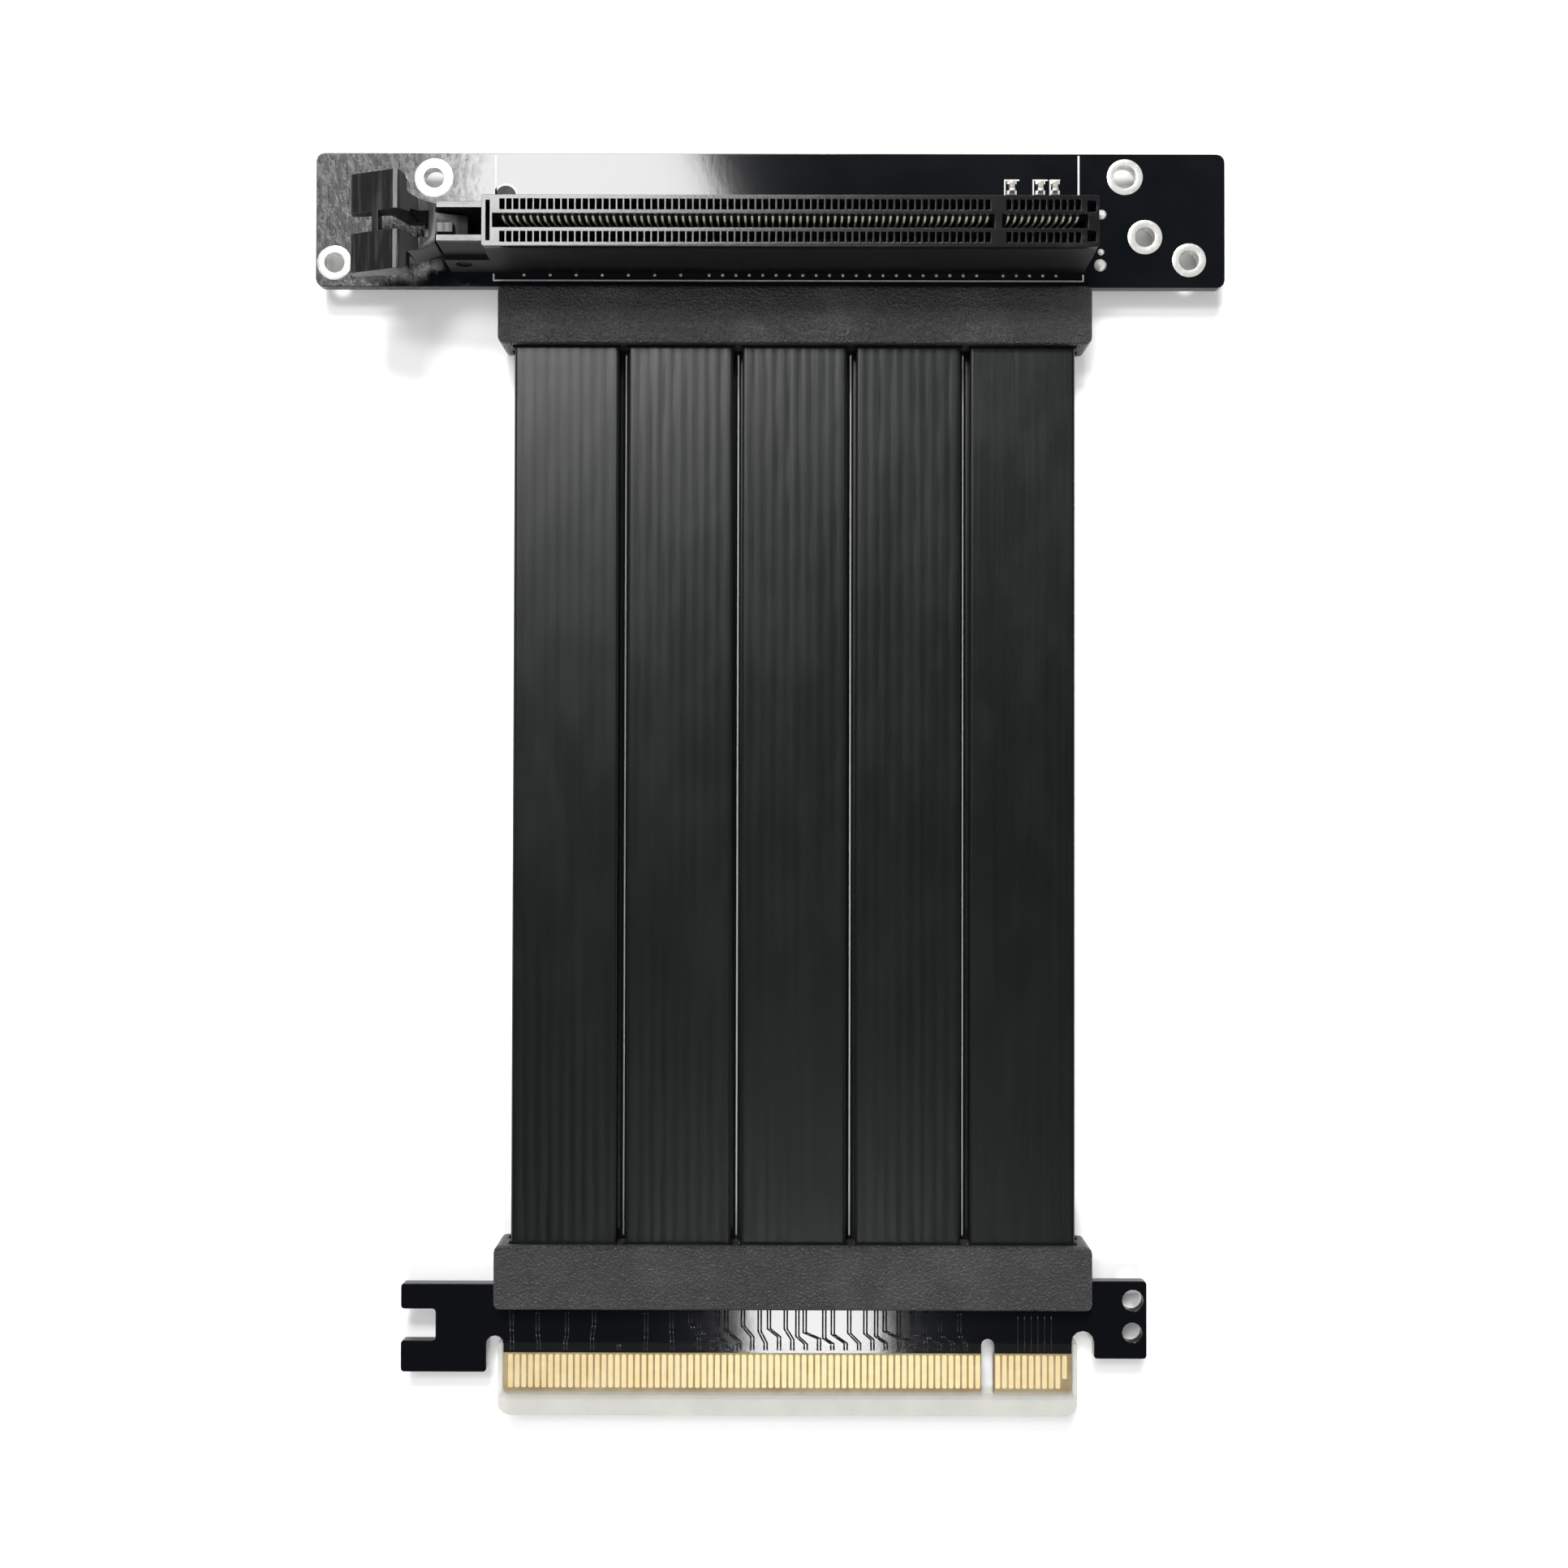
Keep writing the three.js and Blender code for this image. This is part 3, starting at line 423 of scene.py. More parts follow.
# Finishes in which one grain drives the colour, the roughness and the bump
grainedSettings = {
    "leverPlastic": {"grain": {"Stretch": (1, 0.08, 1), "Scale": 1300, "Low": 0.45, "High": 0.75},
                     "colours": ((0.009, 0.009, 0.009), (0.03, 0.0295, 0.028)),
                     "roughness": (0.3, 0.5), "bump": (0.00004, 0.6), "metallic": 0},
    "contactGold": {"grain": {"Scale": 600, "Low": 0.3, "High": 0.7},
                    "colours": ((0.92, 0.71, 0.36), (0.97, 0.8, 0.48)),
                    "roughness": (0.3, 0.42), "bump": (0.00002, 0.5), "metallic": 0.4},
    "tinnedCopper": {"grain": {"Scale": 700, "Low": 0.3, "High": 0.7},
                     "colours": ((0.8, 0.79, 0.75), (0.9, 0.89, 0.86)),
                     "roughness": (0.2, 0.3), "bump": (0.00002, 0.25), "metallic": 0.45},
    "whitePrint": {"grain": {"Scale": 900, "Low": 0.3, "High": 0.7},
                   "colours": ((0.7, 0.7, 0.69), (0.82, 0.82, 0.8)),
                   "roughness": (0.5, 0.62), "bump": (0.00002, 0.4), "metallic": 0},
    "chipCeramic": {"grain": {"Scale": 1500, "Low": 0.3, "High": 0.7},
                    "colours": ((0.36, 0.33, 0.29), (0.45, 0.42, 0.38)),
                    "roughness": (0.4, 0.52), "bump": (0.00002, 0.4), "metallic": 0},
    # painted shade: the dark disc in place of the shade inside an unused hole
    "darkInk": {"grain": {"Scale": 900, "Low": 0.3, "High": 0.7},
                "colours": ((0.004, 0.004, 0.004), (0.006, 0.006, 0.006)),
                "roughness": (0.5, 0.62), "bump": (0.00002, 0.4), "metallic": 0},
    "springMetal": {"grain": {"Scale": 900, "Low": 0.3, "High": 0.7},
                    "colours": ((0.85, 0.8, 0.68), (0.93, 0.9, 0.8)),
                    "roughness": (0.25, 0.37), "bump": (0.00002, 0.4), "metallic": 0},
}


def makeGrainedFinish(name):
    settings = grainedSettings[name]
    material, tree, shader, place = newMaterial(name, Metallic=settings["metallic"])
    grain = placeGroup(tree, grainGroup, place, **settings["grain"])
    link(tree, mixColours(tree, grain.outputs["Mask"], *settings["colours"]), shader.inputs["Base Color"])
    link(tree, spreadValue(tree, grain.outputs["Mask"], *settings["roughness"]), shader.inputs["Roughness"])
    addBump(tree, shader, grain.outputs["Height"], *settings["bump"])
    return material


maskFinish = makeMaskFinish(maskSettings)
plugFinish = makePlugFinish(plugFinishSettings)
housingFinish = makeHousingFinish(housingFinishSettings)
bootFinish = makeBootFinish(bootFinishSettings)
ribbonFinish = makeRibbonFinish(ribbonFinishSettings)
coverFinish = makeCoverFinish(coverFinishSettings)
leverFinish = makeGrainedFinish("leverPlastic")
goldFinish = makeGrainedFinish("contactGold")
tinFinish = makeGrainedFinish("tinnedCopper")
printFinish = makeGrainedFinish("whitePrint")
chipFinish = makeGrainedFinish("chipCeramic")
holeShadeFinish = makeGrainedFinish("darkInk")
springFinish = makeGrainedFinish("springMetal")
print("materials made")


# Making pieces

shapeSettings = {
    "evenWeight": 90,
    "solidWeld": 0.000002,       # metres, in a copy of a solid
    "pieceWeld": 0.0000005,      # metres, in a piece made here
    "flatAngle": 2,              # degrees
    "domeShoulder": 0.82,        # shares of a dome's radius and height
    "domeWall": 0.5,
    "domeCap": 0.35,
}


def finishPiece(name, bm, material, body="root", smoothAngle=35, evenNormals=False):
    bmesh.ops.recalc_face_normals(bm, faces=bm.faces)
    mesh = bpy.data.meshes.new(name)
    bm.to_mesh(mesh)
    bm.free()
    mesh.materials.append(material)
    mesh.shade_smooth()
    mesh.set_sharp_from_angle(angle=radians(smoothAngle))
    piece = bpy.data.objects.new(name, mesh)
    scene.collection.objects.link(piece)
    if evenNormals:
        even = piece.modifiers.new("evenNormals", "WEIGHTED_NORMAL")
        even.keep_sharp = True
        even.weight = shapeSettings["evenWeight"]
    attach(piece, body)
    return piece


# A copy of a CAD solid with its edges rounded
def roundedCopy(nodeName, edge, segments, sharpAngle=40):
    bm = bmesh.new()
    bm.from_mesh(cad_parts[nodeName].data)
    bmesh.ops.remove_doubles(bm, verts=bm.verts, dist=shapeSettings["solidWeld"])
    bmesh.ops.dissolve_limit(bm, angle_limit=radians(shapeSettings["flatAngle"]), verts=bm.verts,
                             edges=bm.edges)
    sharp = [e for e in bm.edges if len(e.link_faces) == 2 and e.calc_face_angle() > radians(sharpAngle)]
    bmesh.ops.bevel(bm, geom=sharp, offset=edge * mm, segments=segments, profile=0.5,
                    affect="EDGES", material=-1)
    return bm


def addBlock(bm, low, high):
    made = bmesh.ops.create_cube(bm, size=1)["verts"]
    low, high = Vector(low), Vector(high)
    bmesh.ops.scale(bm, verts=made, vec=high - low)
    bmesh.ops.translate(bm, verts=made, vec=(low + high) / 2)
    return made


# A low dome of solder that stands on z and grows by height, downwards when that is negative
def addDome(bm, x, y, z, radius, height, sides=10):
    wall, cap = shapeSettings["domeWall"], shapeSettings["domeCap"]
    made = bmesh.ops.create_cone(bm, cap_ends=True, segments=sides, radius1=radius,
                                 radius2=radius * shapeSettings["domeShoulder"],
                                 depth=abs(height) * wall)["verts"]
    low = [v for v in made if v.co.z < 0]
    top = [v for v in made if v.co.z >= 0]
    face = next(f for f in bm.faces if all(v in f.verts for v in top) and len(f.verts) == len(top))
    lift = bmesh.ops.inset_region(bm, faces=[face], thickness=radius * cap, depth=abs(height) * cap)
    made = list(set(low + top + [v for f in lift["faces"] for v in f.verts] + list(face.verts)))
    if height < 0:
        bmesh.ops.scale(bm, verts=made, vec=(1, 1, -1))
    bmesh.ops.translate(bm, verts=made, vec=(x, y, z + height * wall / 2))


# Boards, housing, latch, boots and cover: the solids with rounded edges

roundedPieces = {
    "slotBoard": {"node": "slot_board", "edge": 0.1, "segments": 3,
                  "finish": maskFinish, "slot": "board_mask"},
    "plugBoard": {"node": "plug_board", "edge": 0.1, "segments": 3,
                  "finish": plugFinish, "slot": "board_mask"},
    "slotHousing": {"node": "slot_housing", "edge": 0.06, "segments": 2,
                    "finish": housingFinish, "slot": "slot_plastic"},
    "slotBoot": {"node": "slot_boot", "edge": 0.14, "segments": 3,
                 "finish": bootFinish, "slot": "boot_rubber"},
    "plugBoot": {"node": "plug_boot", "edge": 0.14, "segments": 3,
                 "finish": bootFinish, "slot": "boot_rubber"},
    "fingerCover": {"node": "finger_cover", "edge": 0.12, "segments": 3,
                    "finish": coverFinish, "slot": "cover_film"},
    "slotLatch": {"node": "slot_latch", "edge": 0.1, "segments": 3,
                  "finish": leverFinish, "slot": "lever_plastic", "body": "latch"},
}


def makeRoundedPieces():
    for name, piece in roundedPieces.items():
        bm = roundedCopy(piece["node"], piece["edge"], piece["segments"])
        made = finishPiece(name, bm, piece["finish"], piece.get("body", "root"),
                           smoothAngle=50, evenNormals=True)
        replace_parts(made, piece["node"])


makeRoundedPieces()
print("boards, housing, latch, boots and cover made")


# Ribbons: lengthwise ridges over the wires, a little uneven, with soft edges

ribbonSettings = {
    "ridges": 9,
    "columnsPerRidge": 8,
    "rows": 110,
    "valley": 0.528,             # half thickness between the wires, mm
    "crest": 0.55,               # half thickness over the wires, mm
    "smoothCrest": 0.52,
    "edgeRound": 0.3,
    "edgeDrop": 0.7,
    "wander": 0.02,
    "wanderWaves": (0.31, 0.087),
    "smoothWander": 0.3,
    "dent": 0.018,
    "dents": 12,
    "dentRadius": (0.5, 1.6),
    "dentDepth": (0.4, 1),
    "dentStretch": 2,
    "smoothRibbon": 5,
}


def ribbonHeight(settings, u, smooth):
    if smooth:
        return settings["smoothCrest"]
    ridge = sin(pi * u * settings["ridges"]) ** 2
    return settings["valley"] + (settings["crest"] - settings["valley"]) * ridge


def makeRibbon(layer, number, settings):
    nodeName = f"ribbon_{layer}_{number}"
    low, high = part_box(nodeName)
    width = high.x - low.x
    middle = (low.z + high.z) / 2
    smooth = number == settings["smoothRibbon"]
    chance = random.Random(f"{layer}{number}")
    bm = bmesh.new()
    bmesh.ops.create_grid(bm, x_segments=settings["ridges"] * settings["columnsPerRidge"],
                          y_segments=settings["rows"], size=0.5)
    bmesh.ops.scale(bm, verts=bm.verts, vec=(width, high.y - low.y, 1))
    bmesh.ops.translate(bm, verts=bm.verts, vec=((low.x + high.x) / 2, (low.y + high.y) / 2, 0))
    top = list(bm.verts)
    under = bmesh.ops.extrude_face_region(bm, geom=bm.faces[:])["geom"]
    under = [item for item in under if isinstance(item, bmesh.types.BMVert)]
    dents = [(chance.uniform(low.x, high.x), chance.uniform(low.y, high.y),
              chance.uniform(*settings["dentRadius"]) * mm, chance.uniform(*settings["dentDepth"]))
             for _ in range(settings["dents"])]
    shortWave, longWave = settings["wanderWaves"]
    stretch = settings["dentStretch"]
    phases = [chance.uniform(0, tau) for _ in range(settings["ridges"] + 1)]
    for side, verts in ((1, top), (-1, under)):
        for vert in verts:
            u = (vert.co.x - low.x) / width
            edge = min(vert.co.x - low.x, high.x - vert.co.x) / mm
            half = ribbonHeight(settings, u, smooth)
            ridge = min(int(u * settings["ridges"]), settings["ridges"] - 1)
            along = vert.co.y / mm
            swing = sin(along * shortWave + phases[ridge]) * sin(along * longWave + phases[ridge + 1])
            half -= settings["wander"] * (0.5 + 0.5 * swing) * (settings["smoothWander"] if smooth else 1)
            for x, y, radius, depth in dents:
                apart = ((vert.co.x - x) ** 2 + ((vert.co.y - y) / stretch) ** 2) / radius ** 2
                if apart < 1:
                    half -= settings["dent"] * depth * (1 - apart) ** 2
            if edge < settings["edgeRound"]:
                slope = min(1, 1 - edge / settings["edgeRound"])
                half -= settings["edgeRound"] * (1 - sqrt(1 - slope * slope)) * settings["edgeDrop"]
            vert.co.z = middle + side * half * mm
    piece = finishPiece(f"ribbon{layer.capitalize()}{number}", bm, ribbonFinish,
                        smoothAngle=60)
    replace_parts(piece, nodeName)


for layerName in ("upper", "lower"):
    for ribbonNumber in range(1, 6):
        makeRibbon(layerName, ribbonNumber, ribbonSettings)
print("ribbons made")


# Contact places, from the finger combs and the pitch of the card edge
pitch = 1.0 * mm


def contactPlaces(nodeName, width):
    low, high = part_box(nodeName)
    count = round((high.x - low.x - width) / pitch) + 1
    return [low.x + width / 2 + i * pitch for i in range(count)]


# Gold fingers with rounded ends, one for each contact

fingerSettings = {"width": 0.7, "corner": 0.22, "shortCut": 1.45, "thickness": 0.05, "root": 0.3}


def makeFingers(side, group, settings):
    nodeName = f"fingers_{side}_{group}"
    low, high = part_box(nodeName)
    places = contactPlaces(nodeName, settings["width"] * mm)
    bm = bmesh.new()
    for number, x in enumerate(places):
        last = group == "short" and number == len(places) - 1
        startY = low.y + (settings["shortCut"] * mm if last else 0)
        verts = addBlock(bm, (x - settings["width"] * mm / 2, startY, low.z),
                         (x + settings["width"] * mm / 2, high.y - settings["root"] * mm, high.z))
        upright = [e for v in verts for e in v.link_edges
                   if abs(e.verts[0].co.z - e.verts[1].co.z) > settings["thickness"] * mm / 2]
        bmesh.ops.bevel(bm, geom=list(set(upright)), offset=settings["corner"] * mm, segments=3, profile=0.5,
                        affect="EDGES", material=-1)
    piece = finishPiece(f"fingers{side.capitalize()}{group.capitalize()}", bm, goldFinish)
    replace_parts(piece, nodeName)


for sideName in ("top", "bottom"):
    for groupName in ("long", "short"):
        makeFingers(sideName, groupName, fingerSettings)
print("fingers made")


# Sprung contacts: each blade rises, leans into the card cavity and curls back under the top plate

contactSettings = {
    "width": 0.3,
    "combWidth": 0.5,
    "thickness": 0.2,
    "path": [(1.75, 6.1), (1.7, 7.6), (1.5, 8.9), (1.2, 10.4), (0.98, 11.6), (0.74, 12.9),
             (0.68, 13.6), (0.74, 14.3), (0.84, 14.8)],   # mm from the slot's middle, height
}


def makeContacts(side, group, settings):
    nodeName = f"contacts_{side}_{group}"
    low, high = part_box(nodeName)
    housingLow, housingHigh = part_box("slot_housing")
    middle = (housingLow.y + housingHigh.y) / 2
    sign = 1 if side == "rear" else -1
    bm = bmesh.new()
    half = settings["width"] * mm / 2
    thick = settings["thickness"] * mm
    path = [(middle + sign * out * mm, height * mm) for out, height in settings["path"]]
    for x in contactPlaces(nodeName, settings["combWidth"] * mm):
        y, z = path[0]
        corners = [bm.verts.new((x + dx, y + dy, z)) for dx, dy in
                   ((-half, -thick / 2), (half, -thick / 2), (half, thick / 2), (-half, thick / 2))]
        face = bm.faces.new(corners)
        for index in range(1, len(path)):
            y, z = path[index]
            ahead = path[min(index + 1, len(path) - 1)]
            behind = path[index - 1]
            along = Vector((0, ahead[0] - behind[0], ahead[1] - behind[1])).normalized()
            across = Vector((0, along.z, -along.y)) * thick / 2
            made = bmesh.ops.extrude_face_region(bm, geom=[face])["geom"]
            if index > 1:
                bmesh.ops.delete(bm, geom=[face], context="FACES_ONLY")
            face = next(item for item in made if isinstance(item, bmesh.types.BMFace))
            spots = [Vector((x - half, y, z)) - across, Vector((x + half, y, z)) - across,
                     Vector((x + half, y, z)) + across, Vector((x - half, y, z)) + across]
            verts = sorted(face.verts, key=lambda v: (v.co.y, v.co.x))
            order = [verts[0], verts[1], verts[3], verts[2]]
            for vert, spot in zip(order, spots):
                vert.co = spot
    bmesh.ops.remove_doubles(bm, verts=bm.verts, dist=shapeSettings["pieceWeld"])
    piece = finishPiece(f"contacts{side.capitalize()}{group.capitalize()}", bm, springFinish)
    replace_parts(piece, nodeName)


for sideName in ("rear", "front"):
    for groupName in ("long", "short"):
        makeContacts(sideName, groupName, contactSettings)
print("sprung contacts made")


# Plated mounting holes: a spun lining with softly domed pads on both faces

ringSettings = {
    "steps": 48,
    "bore": 1.5,                 # radius in mm
    "wideBore": 1.7,
    "wall": 0.25,
    "padRise": 0.06,
    "lipDepth": 0.35,
    "lipOut": 0.04,
    "padEdge": 0.25,
    "lipShare": 0.4,             # of the pad's rise
    "edgeShare": 0.8,
}


def makeRing(nodeName, settings):
    low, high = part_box(nodeName)
    centre = (low + high) / 2
    bore = settings["wideBore" if nodeName.endswith("right_rear") else "bore"] * mm
    pad = (high.y - low.y) / 2
    rise = settings["padRise"] * mm
    padEdge = settings["padEdge"] * mm
    barrel = bore + settings["wall"] * mm
    topZ, underZ = high.z - rise, low.z + rise
    face = [
        (bore, -settings["lipDepth"] * mm), (bore + settings["lipOut"] * mm, rise * settings["lipShare"]),
        (bore + padEdge, rise), ((bore + pad) / 2, rise), (pad - padEdge, rise * settings["edgeShare"]),
        (pad, 0), (barrel, 0),
    ]
    profile = [(r, topZ + up) for r, up in face] + [(r, underZ - up) for r, up in reversed(face)]
    bm = bmesh.new()
    verts = [bm.verts.new((centre.x + r, centre.y, z)) for r, z in profile]
    edges = [bm.edges.new((verts[i], verts[(i + 1) % len(verts)])) for i in range(len(verts))]
    bmesh.ops.spin(bm, geom=verts + edges, cent=centre, axis=(0, 0, 1), angle=tau,
                   steps=settings["steps"], use_merge=True)
    bmesh.ops.remove_doubles(bm, verts=bm.verts, dist=shapeSettings["pieceWeld"])
    words = nodeName.split("_")
    name = words[0] + "".join(word.capitalize() for word in words[1:])
    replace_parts(finishPiece(name, bm, tinFinish), nodeName)


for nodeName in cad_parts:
    if nodeName.startswith("mount_ring"):
        makeRing(nodeName, ringSettings)
print("mounting holes made")


# Print, solder joints and small parts on the slot board

boardLow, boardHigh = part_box("slot_board")
boardTop = boardHigh.z
boardUnder = boardLow.z
printRise = 0.02 * mm

printSettings = {
    "tallLines": [-41.5, 46.6],  # x of the two lines that cross the rear strip
    "lineWidth": 0.28,
    "tallFrom": 88.0,
    "tallInset": 0.3,
    "frameLeft": -41.9,
    "frameRight": 47.4,
    "frameY": 75.35,
    "frameWidth": 0.22,
    "frameTick": 1.1,
    "chipFrame": (2.3, 2.4, 0.22),
    "lastChipShare": 0.7,
}


def makePrint(settings):
    bm = bmesh.new()
    half = settings["lineWidth"] * mm / 2
    for x in settings["tallLines"]:
        addBlock(bm, (x * mm - half, settings["tallFrom"] * mm, boardTop),
                 (x * mm + half, boardHigh.y - settings["tallInset"] * mm, boardTop + printRise))
    left, right, y = settings["frameLeft"] * mm, settings["frameRight"] * mm, settings["frameY"] * mm
    width, tick = settings["frameWidth"] * mm, settings["frameTick"] * mm
    addBlock(bm, (left, y, boardTop), (right, y + width, boardTop + printRise))
    for x in (left, right - width):
        addBlock(bm, (x, y + width, boardTop), (x + width, y + tick, boardTop + printRise))
    across, along, line = (value * mm for value in settings["chipFrame"])
    for number in (1, 2, 3):
        low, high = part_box(f"chip_part_{number}")
        cx, cy = (low.x + high.x) / 2, (low.y + high.y) / 2
        wide = across if number < 3 else across * settings["lastChipShare"]
        topY = cy + along / 2
        addBlock(bm, (cx - wide / 2, topY - line, boardTop), (cx + wide / 2, topY, boardTop + printRise))
        addBlock(bm, (cx - wide / 2, cy - along / 2, boardTop),
                 (cx - wide / 2 + line, topY - line, boardTop + printRise))
    finishPiece("boardPrint", bm, printFinish)


makePrint(printSettings)

# Pale-rimmed dark spot that the housing half hides: a printed rim around a dark disc of painted shade, in
# place of the shade inside an unused hole
spotSettings = {"centre": (-40.0, 88.3), "outer": 1.9, "rim": 0.35, "hole": 0.05, "steps": 20}


def makeSpot(settings):
    x, y = (value * mm for value in settings["centre"])
    outer, inner = settings["outer"] * mm, (settings["outer"] - settings["rim"]) * mm
    hole = settings["hole"] * mm
    # the fill is a dark disc of painted shade, in place of the shade inside an unused hole
    for name, r0, r1, finish in (("spotRim", inner, outer, printFinish),
                                 ("spotFill", hole, inner, holeShadeFinish)):
        bm = bmesh.new()
        corners = [bm.verts.new((x + r, y, z)) for r, z in
                   ((r0, boardTop), (r1, boardTop), (r1, boardTop + printRise), (r0, boardTop + printRise))]
        face = bm.faces.new(corners)
        bmesh.ops.spin(bm, geom=[face], cent=(x, y, 0), axis=(0, 0, 1), angle=pi, steps=settings["steps"])
        finishPiece(name, bm, finish)


makeSpot(spotSettings)

solderSettings = {
    "wideDots": (-37.2, 3.95, 7),    # first x, step, count
    "closeDots": (-9.2, 2.02, 21),
    "endDots": (35.2, 2.0, 5),
    "dotY": 76.3,
    "dotRadius": 0.23,
    "dotRise": 0.1,
    "endJoints": [(50.1, 85.6, 0.75), (49.9, 77.9, 0.95), (50.0, 79.9, 0.5)],
    "endRise": 0.9,                  # of the radius
    "tailRows": (1.3, 3.2),
    "tailRadius": 0.42,
    "tailRise": 1.1,
}


def makeSolder(settings):
    bm = bmesh.new()
    for first, step, count in (settings["wideDots"], settings["closeDots"], settings["endDots"]):
        for number in range(count):
            addDome(bm, (first + number * step) * mm, settings["dotY"] * mm, boardTop,
                    settings["dotRadius"] * mm, settings["dotRise"] * mm)
    for x, y, radius in settings["endJoints"]:
        addDome(bm, x * mm, y * mm, boardTop, radius * mm, radius * mm * settings["endRise"], sides=16)
    finishPiece("topSolder", bm, tinFinish)


def makeTails(settings):
    bm = bmesh.new()
    housingLow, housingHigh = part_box("slot_housing")
    middle = (housingLow.y + housingHigh.y) / 2
    number = 0
    for group in ("long", "short"):
        for x in contactPlaces(f"contacts_rear_{group}", contactSettings["combWidth"] * mm):
            number += 1
            row = settings["tailRows"][number % 2] * mm
            for sign in (-1, 1):
                addDome(bm, x, middle + sign * row, boardUnder, settings["tailRadius"] * mm,
                        -settings["tailRise"] * mm, sides=8)
    finishPiece("underSolder", bm, tinFinish)


makeSolder(solderSettings)
makeTails(solderSettings)

chipSettings = {
    "endLength": 0.38,
    "endGrow": 0.04,
    "padGrow": 0.3,
    "padRise": 0.09,
    "bodyEdge": 0.05,
    "endEdge": 0.06,
}


def roundBlock(bm, verts, edge):
    edges = list({e for v in verts for e in v.link_edges})
    bmesh.ops.bevel(bm, geom=edges, offset=edge * mm, segments=2, profile=0.5, affect="EDGES", material=-1)


def makeChips(settings):
    inset, grow, length, padRise = (settings[name] * mm for name in
                                    ("endGrow", "padGrow", "endLength", "padRise"))
    for number in (1, 2, 3):
        nodeName = f"chip_part_{number}"
        low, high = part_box(nodeName)
        bm = bmesh.new()
        body = addBlock(bm, (low.x + inset, low.y + inset, low.z),
                        (high.x - inset, high.y - inset, high.z - inset))
        roundBlock(bm, body, settings["bodyEdge"])
        made = finishPiece(f"chipBody{number}", bm, chipFinish)
        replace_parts(made, nodeName)
        bm = bmesh.new()
        for y0, y1 in ((low.y, low.y + length), (high.y - length, high.y)):
            end = addBlock(bm, (low.x, y0, low.z), (high.x, y1, high.z))
            roundBlock(bm, end, settings["endEdge"])
        for y0, y1 in ((low.y - grow, low.y + grow), (high.y - grow, high.y + grow)):
            addBlock(bm, (low.x - grow, y0, boardTop), (high.x + grow, y1, boardTop + padRise))
        finishPiece(f"chipEnds{number}", bm, tinFinish)


makeChips(chipSettings)
print("print, solder and small parts made")


# Raised traces under the solder mask of the plug board, in pairs with a jog

traceSettings = {
    "seed": 11,
    "pairGap": 0.45,
    "width": 0.26,
    "rise": 0.1,
    "overlap": 1.04,
    "skin": 0.04,
    "fromMaskEdge": 0.5,
    "sparseUntil": 0.35,         # of the long row of fingers, from its left end
    "sparseStep": 4,
    "denseStep": 2,
    "sparseShift": (-0.3, 0.5),
    "denseShift": (0.9, 2.2),
    "firstRun": (0.8, 2.0),
    "jogRun": (0.8, 1.8),
    "stubChance": 0.35,
    "shortFrom": 3,              # fingers past the key that have straight traces
    "shortTo": 9,
    "shortWidth": 0.7,
}


def addTrace(bm, points, width, rise, z):
    for (x0, y0), (x1, y1) in zip(points, points[1:]):
        along = Vector((x1 - x0, y1 - y0, 0))
        length = along.length
        made = bmesh.ops.create_grid(bm, x_segments=4, y_segments=1, size=0.5)["verts"]
        for vert in made:
            vert.co.z = rise * sqrt(max(0, 1 - (2 * vert.co.x) ** 2))
        bmesh.ops.scale(bm, verts=made, vec=(width, length * traceSettings["overlap"], 1))
        turn = Matrix.Rotation(along.to_2d().angle_signed(Vector((0, 1))), 4, "Z")
        bmesh.ops.transform(bm, matrix=turn, verts=made)
        bmesh.ops.translate(bm, verts=made, vec=((x0 + x1) / 2, (y0 + y1) / 2, z))


def makeTraces(settings):
    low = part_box("plug_board")[0]
    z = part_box("plug_board")[1].z
    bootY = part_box("plug_boot")[0].y
    startY = low.y + (plugFinishSettings["maskEdgeFromEnd"] + settings["fromMaskEdge"]) * mm
    width, rise = settings["width"] * mm, settings["rise"] * mm
    chance = random.Random(settings["seed"])
    bm = bmesh.new()
    places = contactPlaces("fingers_top_long", fingerSettings["width"] * mm)
    step = 0
    while step < len(places) - 2:
        x = places[step]
        sparse = step / len(places) < settings["sparseUntil"]
        shift = chance.uniform(*settings["sparseShift" if sparse else "denseShift"])
        y1 = startY + chance.uniform(*settings["firstRun"]) * mm
        y2 = y1 + chance.uniform(*settings["jogRun"]) * mm
        for offset in (0, settings["pairGap"]):
            if sparse and chance.random() < settings["stubChance"]:
                points = [(x + offset * mm, startY), (x + offset * mm, y1)]
            else:
                points = [(x + offset * mm, startY), (x + offset * mm, y1),
                          (x + (offset - shift) * mm, y2), (x + (offset - shift) * mm, bootY)]
            addTrace(bm, points, width, rise, z)
        step += settings["sparseStep" if sparse else "denseStep"]
    shortPlaces = contactPlaces("fingers_top_short", fingerSettings["width"] * mm)
    for x in shortPlaces[settings["shortFrom"]:settings["shortTo"]]:
        addTrace(bm, [(x, startY), (x, bootY)], width * settings["shortWidth"], rise, z)
    made = finishPiece("plugTraces", bm, maskFinish)
    solid = made.modifiers.new("thickness", "SOLIDIFY")
    solid.thickness = settings["skin"] * mm
    solid.offset = -1


makeTraces(traceSettings)
print("traces made")


# Floor, lights and sky

stageSettings = {
    "floorSize": 4.0,
    "floorColour": (0.93, 0.93, 0.925, 1),
    "floorRoughness": 0.9,
    "floorSpecular": 0.1,
    "floorGlow": 0.08,
    "skyLight": 0.08,
    "skyBright": 1.6,
    "skyDark": 0.02,
    "skyFade": (0.05, 0.5),      # heights between which its reflection goes dark
}

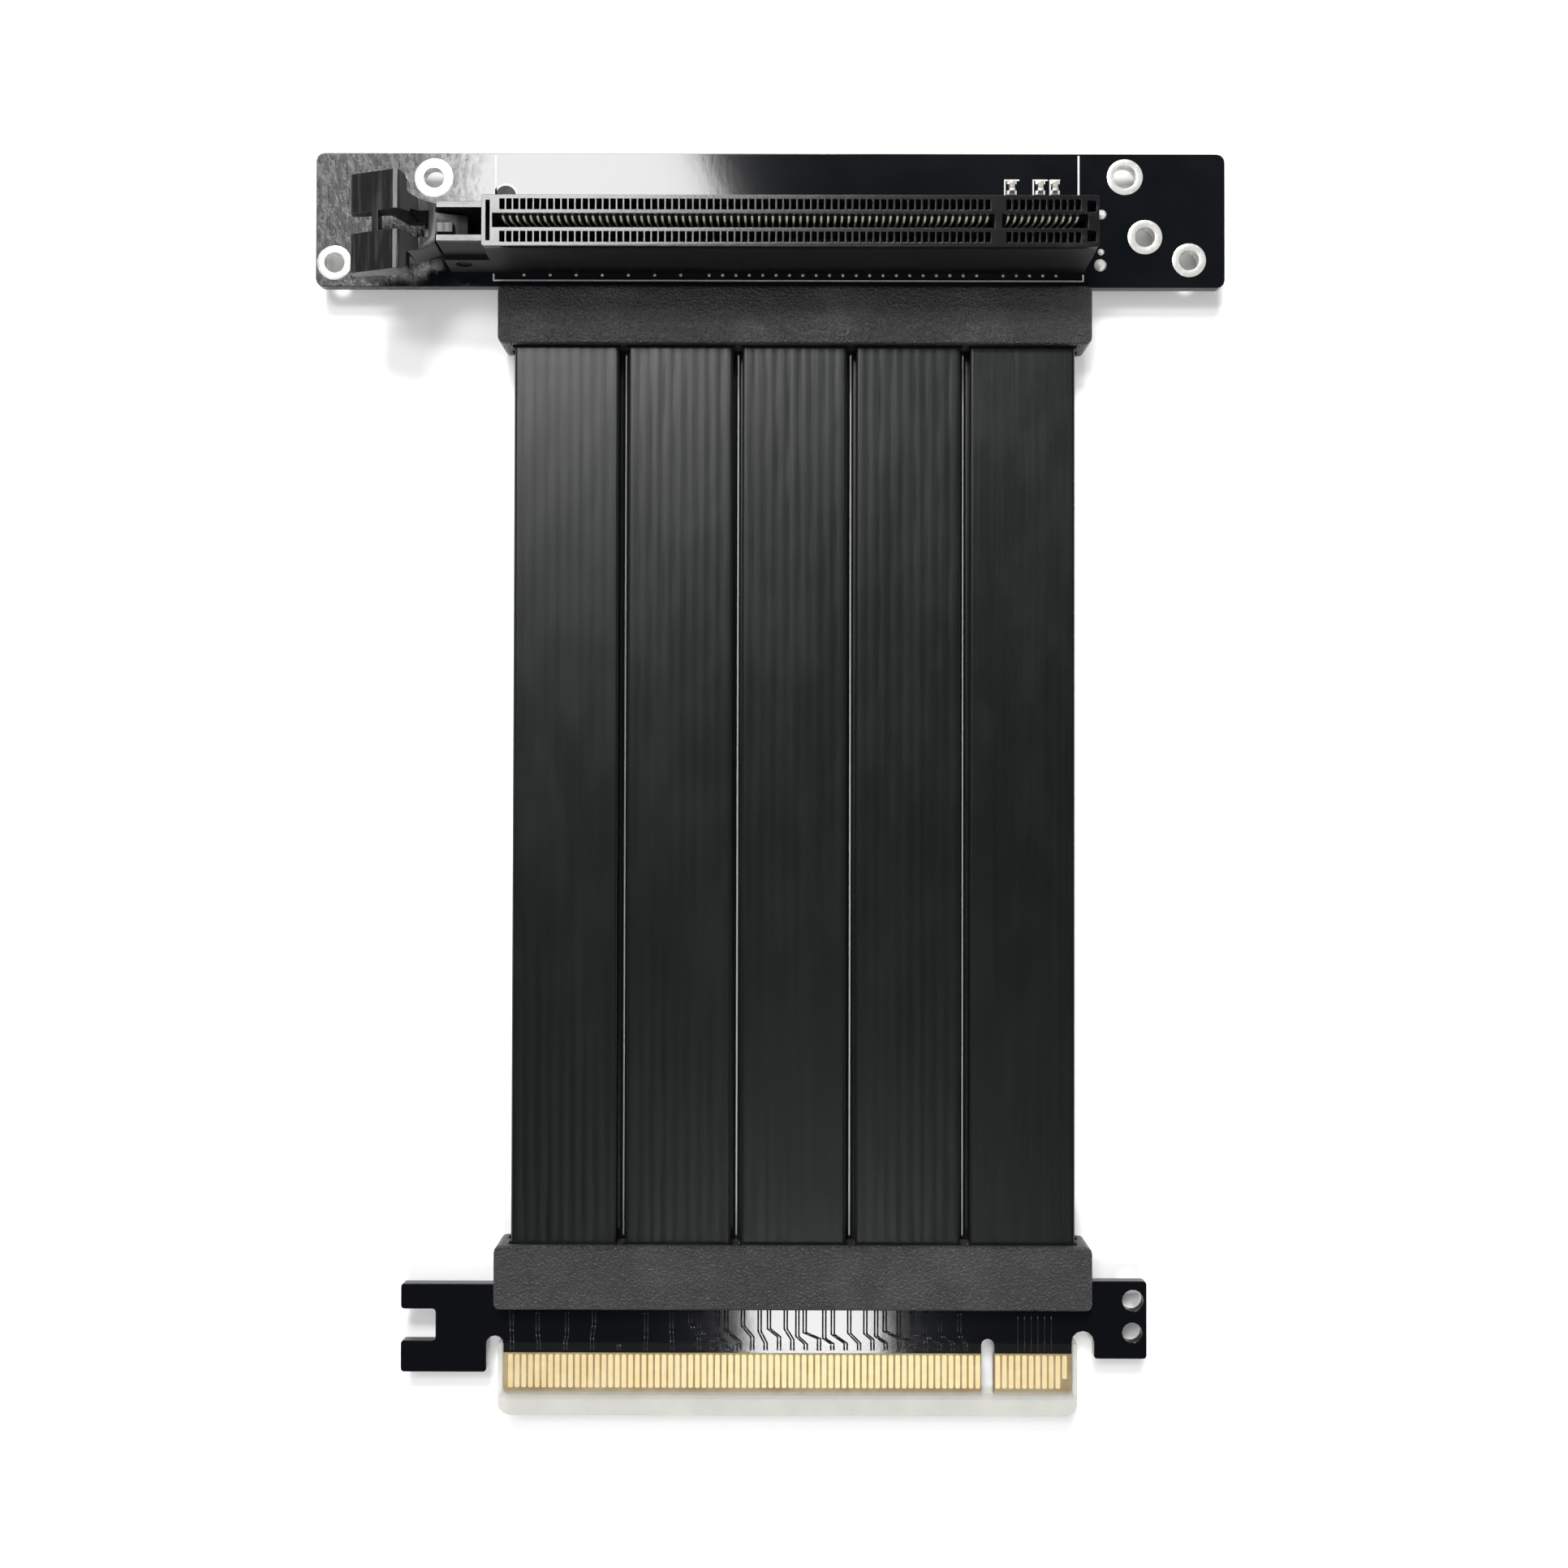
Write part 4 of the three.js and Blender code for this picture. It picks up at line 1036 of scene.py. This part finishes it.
lampSettings = {
    "overhead": {"place": (0.1, 0.1, 1.6), "size": (1.6, 1.6), "power": 5, "glossy": False},
    "rearKey": {"place": (-0.1, 0.95, 1.05), "size": (0.34, 0.3), "power": 15, "glossy": True},
    "rearLeftWindow": {"place": (-0.245, 0.47, 1.0), "size": (0.36, 0.2), "power": 4.3, "glossy": True},
    "frontWindow": {"place": (0.026, -0.42, 1.0), "size": (0.105, 0.08), "power": 0.55, "glossy": True},
    "frontFill": {"place": (0.05, -0.7, 1.0), "size": (0.3, 0.3), "power": 5, "glossy": False},
}


def makeStage(settings):
    bm = bmesh.new()
    bmesh.ops.create_grid(bm, x_segments=1, y_segments=1, size=settings["floorSize"] / 2)
    mesh = bpy.data.meshes.new("floor")
    bm.to_mesh(mesh)
    bm.free()
    floor = bpy.data.objects.new("floor", mesh)
    scene.collection.objects.link(floor)
    material = bpy.data.materials.new("floorPaper")
    material.use_nodes = True
    tree = material.node_tree
    shader = tree.nodes["Principled BSDF"]
    shader.inputs["Base Color"].default_value = settings["floorColour"]
    shader.inputs["Roughness"].default_value = settings["floorRoughness"]
    shader.inputs["Specular IOR Level"].default_value = settings["floorSpecular"]
    shader.inputs["Emission Color"].default_value = (1, 1, 1, 1)
    path = node(tree, "ShaderNodeLightPath")
    first = node(tree, "ShaderNodeMath", operation="MAXIMUM")
    second = node(tree, "ShaderNodeMath", operation="MAXIMUM")
    glow = node(tree, "ShaderNodeMath", operation="MULTIPLY")
    glow.inputs[1].default_value = settings["floorGlow"]
    link(tree, path.outputs["Is Camera Ray"], first.inputs[0])
    link(tree, path.outputs["Is Glossy Ray"], first.inputs[1])
    link(tree, first.outputs["Value"], second.inputs[0])
    link(tree, path.outputs["Is Transmission Ray"], second.inputs[1])
    link(tree, second.outputs["Value"], glow.inputs[0])
    link(tree, glow.outputs["Value"], shader.inputs["Emission Strength"])
    mesh.materials.append(material)


# The sky lights softly, shows white to the camera and is dark overhead in reflections
def makeSky(settings):
    world = bpy.data.worlds.new("sky")
    scene.world = world
    world.use_nodes = True
    tree = world.node_tree
    background = tree.nodes["Background"]
    place = node(tree, "ShaderNodeTexCoord")
    split = node(tree, "ShaderNodeSeparateXYZ")
    fadeFrom, fadeTo = settings["skyFade"]
    ramp = node(tree, "ShaderNodeMapRange",
                {"From Min": fadeFrom, "From Max": fadeTo,
                 "To Min": settings["skyBright"], "To Max": settings["skyDark"]})
    path = node(tree, "ShaderNodeLightPath")
    forGlossy = node(tree, "ShaderNodeMix", data_type="FLOAT")
    forGlossy.inputs["A"].default_value = settings["skyLight"]
    forCamera = node(tree, "ShaderNodeMix", data_type="FLOAT")
    forCamera.inputs["B"].default_value = 1.0
    link(tree, place.outputs["Generated"], split.inputs["Vector"])
    link(tree, split.outputs["Z"], ramp.inputs["Value"])
    link(tree, path.outputs["Is Glossy Ray"], forGlossy.inputs["Factor"])
    link(tree, ramp.outputs["Result"], forGlossy.inputs["B"])
    link(tree, path.outputs["Is Camera Ray"], forCamera.inputs["Factor"])
    link(tree, forGlossy.outputs["Result"], forCamera.inputs["A"])
    link(tree, forCamera.outputs["Result"], background.inputs["Strength"])
    background.inputs["Color"].default_value = (1, 1, 1, 1)


def makeLamp(name, settings):
    data = bpy.data.lights.new(name, "AREA")
    data.shape = "RECTANGLE"
    data.size, data.size_y = settings["size"]
    data.energy = settings["power"]
    lamp = bpy.data.objects.new(name, data)
    lamp.location = settings["place"]
    aim = -Vector(settings["place"])
    lamp.rotation_euler = aim.to_track_quat("-Z", "Y").to_euler()
    lamp.visible_glossy = settings["glossy"]
    scene.collection.objects.link(lamp)


makeStage(stageSettings)
makeSky(stageSettings)
for lampName, lampValues in lampSettings.items():
    makeLamp(lampName, lampValues)
print("stage and lights made")
